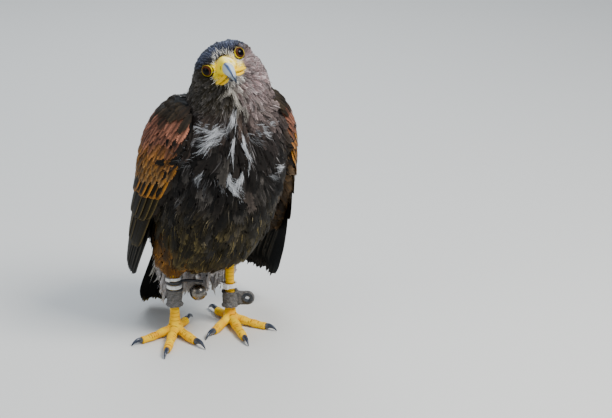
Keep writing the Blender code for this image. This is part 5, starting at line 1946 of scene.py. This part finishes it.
def build_anklet(side, leather, steel):
    label = SIDE_NAMES[side]
    bottom, top, heading, reach = ANKLET[side]
    middle = (bottom + top) / 2
    hole_at = LEG_GAP_RADIUS + reach - EYELET_INSET
    outline = rounded_outline(LEG_GAP_RADIUS, LEG_GAP_RADIUS + ANKLET_WALL, bottom - middle, top - middle,
                              0.9)
    dense = []
    for (r0, h0), (r1, h1) in zip(outline, outline[1:] + outline[:1]):
        steps = max(1, int(math.hypot(r1 - r0, h1 - h0) / 1.1))
        dense += [(r0 + (r1 - r0) * i / steps, h0 + (h1 - h0) * i / steps) for i in range(steps)]
    cuff = turned_ring("cuff", dense, leather, 72)
    tab = pierced_tab("tab", LEG_GAP_RADIUS + 1.0, TAB_THICK, TAB_HALF, hole_at, EYELET_BORE + GAP, leather)
    anklet = join_meshes(f"suede_anklet_{label}", [cuff, tab])
    points = points_of(anklet.data)
    out = np.hypot(points[:, 0], points[:, 1])
    on_cuff = out < LEG_GAP_RADIUS + 4
    flare = ANKLET_FLARE * smooth_step(0.55, 1.0, np.abs(points[:, 2]) / (middle - bottom)) * on_cuff
    wrinkle = 0.35 * wave(points * MM, 7, 91) + 0.16 * wave(points * MM, 2.5, 92)
    wall = smooth_step(LEG_GAP_RADIUS + 0.4, LEG_GAP_RADIUS + 1.2, out) * on_cuff
    points[:, :2] *= (1 + (flare + wrinkle) * wall / np.maximum(out, 1))[:, None]
    points[:, 2] += 0.5 * wave(points * MM, 5, 93) * wall
    points[:, 1] += 0.25 * wave(points * MM, 4, 94) * (1 - on_cuff)
    set_points(anklet.data, points)
    worn = 0.6 * smooth_step(-0.4, 1.0, wave(points * np.array([1, 1, 3]) * MM, 6, 95))
    paint(anklet.data, blend(LEATHER, LEATHER_DARK, worn))
    place = leg_matrix(side, heading, middle)
    dress(place_all(anklet, place), (f"anklet_{label}",))
    build_fray(f"anklet_fray_{label}", place, bottom - middle, top - middle, side, leather)
    eyelet = turned_ring(f"eyelet_metal_{label}", eyelet_outline(), steel, 56)
    eyelet.data.set_sharp_from_angle(angle=math.radians(50))
    place = place @ Matrix.Translation((hole_at, 0, 0)) @ Matrix.Rotation(math.pi / 2, 4, "X")
    dress(place_all(eyelet, place), (f"eyelet_{label}",))


def eyelet_outline():
    """An eyelet's (radius, height) outline: a sleeve with a rounded flange on each side of the tab."""
    half, deep = TAB_THICK / 2 + GAP, EYELET_DEEP / 2
    upper = [
        (EYELET_BORE, half), (EYELET_RIM, half), (EYELET_RIM, deep - 0.7), (EYELET_RIM - 0.7, deep - 0.2),
        (EYELET_HOLE + 1.6, deep + 0.15), (EYELET_HOLE + 0.5, deep), (EYELET_HOLE, deep - 0.6),
    ]
    return [(r, -h) for r, h in reversed(upper)] + upper


def build_fray(name, place, bottom, top, side, finish):
    """Short loose fibres along both edges of a cuff."""
    rng = np.random.default_rng(600 + side)
    count = FRAY_COUNT
    angle = rng.uniform(0, 2 * math.pi, count)
    edge = np.where(rng.random(count) < 0.5, bottom, top)
    way = np.sign(edge)
    radius = LEG_GAP_RADIUS + rng.uniform(0.8, 3.2, count)
    length, half = rng.uniform(*FRAY_LENGTH, count), rng.uniform(*FRAY_HALF_WIDTH, count)
    turn = rng.normal(0, 0.10, count)
    root = np.stack([radius * np.cos(angle), radius * np.sin(angle), edge - way * 0.6], 1)
    out = np.stack([np.cos(angle), np.sin(angle), np.zeros(count)], 1)
    across = np.stack([-np.sin(angle), np.cos(angle), np.zeros(count)], 1)
    tip = root + out * rng.uniform(-0.2, 1.0, (count, 1)) + across * turn[:, None] * 8
    tip[:, 2] += way * length
    wide = across * half[:, None]
    points = np.stack([root - wide, root + wide, tip + wide * 0.25, tip - wide * 0.25], 1).reshape(-1, 3)
    shades = np.repeat(rng.uniform(0.6, 1.5, (count, 1)), 4, 0)
    fray = array_mesh(name, points, np.arange(4 * count).reshape(-1, 4), finish,
                      np.clip(LEATHER[None] * shades, 0, 1))
    dress(place_all(fray, place))


def bell_place():
    turn = Matrix.Rotation(math.radians(BELL_TILT), 4, "Y")
    return Matrix.Translation(at(BELL_CENTRE)) @ Matrix.Scale(MM, 4) @ turn


def build_bands(finishes):
    """The bands, the tie and the strap: the left band and the tie with a clip, the strap with its tongue."""
    for name, side, bottom, top, wall, finish in BANDS:
        outline = rounded_outline(LEG_GAP_RADIUS, LEG_GAP_RADIUS + wall, bottom, top, 0.55)
        pieces = [place_all(turned_ring(f"{name}_ring", outline, finishes[finish], 64), leg_matrix(side))]
        if name in CLIP_HEADINGS:
            clip = rounded_block("clip", (*CLIP_SIZE, top - bottom + 0.4), 0.5, finishes[finish])
            spot = Matrix.Translation((LEG_GAP_RADIUS + wall + 0.9, 0, 0))
            pieces.append(place_all(clip, leg_matrix(side, CLIP_HEADINGS[name], (bottom + top) / 2) @ spot))
        if finish == "strap":
            start = at((FOOT_X * side + LEG_GAP_RADIUS + 0.8, -2, (bottom + top) / 2))
            pieces.append(build_tongue(start, finishes[finish]))
        piece = join_meshes(f"{name}_worn", pieces)
        piece.data.set_sharp_from_angle(angle=math.radians(50))
        dress(piece, (name,))


def build_tongue(start, finish):
    """The strap's tongue, from its ring round the leg to the bell's loop."""
    end = bell_place() @ Vector((0, 0, BELL_RADIUS + 1.6 + GAP + 1.6))
    middle = start.lerp(end, 0.5) + Vector((0, -1.0, 1.4)) * MM
    past = end + (end - start).normalized() * 2.6 * MM
    path = smooth_path([start / MM, middle / MM, end / MM, past / MM], 24)
    rings = tube_rings(path, [1.7] * 8 + [1.6] * 12 + [1.5, 1.4, 1.2, 0.8], 14)
    return place_all(loft("tongue", rings, finish), Matrix.Scale(MM, 4))


def rounded_block(name, size, bevel, finish):
    work = bmesh.new()
    bmesh.ops.create_cube(work, size=1)
    bmesh.ops.scale(work, vec=size, verts=work.verts)
    bmesh.ops.bevel(work, geom=work.edges[:], offset=bevel, segments=3, profile=0.5, affect="EDGES")
    mesh = bpy.data.meshes.new(name)
    work.to_mesh(mesh)
    work.free()
    mesh.shade_smooth()
    mesh.materials.append(finish)
    return add_object(name, mesh)


def cut(obj, cutters):
    """Cuts closed forms out of an object, and removes them."""
    for cutter in cutters:
        modifier = obj.modifiers.new("cut", "BOOLEAN")
        modifier.object, modifier.operation, modifier.solver = cutter, "DIFFERENCE", "EXACT"
    bpy.context.view_layer.update()
    apply_modifiers(obj)
    for cutter in cutters:
        bpy.data.objects.remove(cutter)


def build_bell(steel):
    """A thin round bell with a rim about its waist, a slit that ends in two round holes, and a loop above."""
    def wall(radius, top, bottom):
        return [(radius * math.cos(a),
                 radius * math.sin(a)) for a in np.radians(np.linspace(top, bottom, 40))]

    rim = [(BELL_RADIUS + 0.9, 0.9), (BELL_RADIUS + 1.0, 0.3), (BELL_RADIUS + 1.0, -0.3),
           (BELL_RADIUS + 0.9, -0.9)]
    outer = wall(BELL_RADIUS, 88, 6) + rim + wall(BELL_RADIUS, -6, -88)
    bell = turned_ring("bell_metal", outer + wall(BELL_RADIUS - BELL_WALL, -88, 88), steel, 80)
    slit = rounded_block("slit", BELL_SLIT, 0.2, steel)
    slit.data.transform(Matrix.Translation((0, 0, -BELL_RADIUS - 0.5)))
    cutters = [slit]
    for end in (-BELL_SLIT_END, BELL_SLIT_END):
        cutters.append(loft("hole", [circle(1.5, 24, z, (end, 0)) for z in (-BELL_RADIUS - 2, -4.5)], steel))
        face_outwards(cutters[-1].data)
    cut(bell, cutters)
    loop = []
    for a in np.linspace(-0.1, math.pi + 0.1, 20):
        loop.append(Vector((2.1 * math.cos(a), 0, BELL_RADIUS - 0.4 + 2.1 * math.sin(a))))
    join_meshes("bell_metal", [bell, loft("loop", tube_rings(loop, [0.55] * len(loop), 12), steel)])
    bell.data.set_sharp_from_angle(angle=math.radians(40))
    dress(place_all(bell, bell_place()), ("bell_right",))


# Feather patterns: small and large body feathers, soft coverts, vaned quills, and a single strand
SMALL = contour_pattern(3, 4, 0.62, 0.10)
LARGE = contour_pattern(5, 10, 0.60, 0.08)
SOFT = contour_pattern(5, 8, 0.72, 0.05)
VANE = vane_pattern(14, 8, 0.45, 0.82, 0.30)
WISP = (
    np.array([0, 0, 0.35, 0.35, 0.7, 0.7, 1.0, 1.0]),
    np.array([-0.8, 0.8, -1.0, 1.0, -0.7, 0.7, -0.12, 0.12]),
    np.zeros(8),
    np.array([(0, 1, 3, 2), (2, 3, 5, 4), (4, 5, 7, 6)]),
)

# The whole bird, from its skin outwards

make_camera()
make_stage()
plumage = plumage_material("plumage_coat", 0.6, 900, 0.14)
quills = plumage_material("flight_feathers", 0.55, 700, 0.08)
skin_finish = plumage_material("skin_under_coat", 0.85, 500)
skin = build_skin(skin_finish)
skin_surface = Surface(skin)
paint(skin.data, body_tone(skin_surface.points, bare=True))
cores = [build_wing_core(side, skin_finish) for side in (LEFT, RIGHT)]
core_surfaces = [Surface(core) for core in cores]
hull = closed_hull("hull", [skin.data] + [core.data for core in cores], 2.6 * MM, 6)
unwrap(hull)
hull_surface = Surface(hull)
bpy.data.objects.remove(hull)
dress_head(skin_surface, plumage)
dress_body(hull_surface, skin_surface, core_surfaces, plumage)
dress_strands(hull_surface, skin_surface, core_surfaces, plumage)
dress_tufts(hull_surface, skin_surface, plumage)
dress_fluff(hull_surface, skin_surface, plumage)
for side, core in zip((LEFT, RIGHT), core_surfaces):
    build_wing(side, core, plumage, quills)
build_tail(skin_surface, plumage, quills)
bare_skin = painted_material("yellow_bare_skin", 0.5, 2200, 0.35, specular=0.12)
horn = painted_material("bill_horn", 0.22, 900, 0.08)
claw_horn = painted_material("claw_horn", 0.24, 900, 0.08)
eye_glass = painted_material("eye_surface", 0.3, coat=0.22, specular=0.0)
bristle = painted_material("bristle", 0.6)
build_cere(bare_skin)
build_bill(horn)
for side in (LEFT, RIGHT):
    build_eye(side, eye_glass, bare_skin)
    build_leg(side, bare_skin, claw_horn)
build_bristles(skin_surface, bristle)
suede = leather_material()
nickel = worn_material("nickel", (0.26, 0.25, 0.24), (0.13, 0.11, 0.08), 0.16, 0.42, 1.0)
gunmetal = worn_material("eyelet_metal", (0.085, 0.095, 0.11), (0.035, 0.035, 0.036), 0.28, 0.5, 0.9, 420)
finishes = {
    "band": worn_material("white_plastic", (0.80, 0.81, 0.82), (0.62, 0.62, 0.60), 0.34, 0.5, 0.0, 500, 0.1),
    "strap": worn_material("black_strap", (0.011, 0.012, 0.017), (0.034, 0.034, 0.036), 0.42, 0.62, 0.0, 700,
                           0.3),
}
for side in (LEFT, RIGHT):
    build_anklet(side, suede, gunmetal)
build_bands(finishes)
build_bell(nickel)
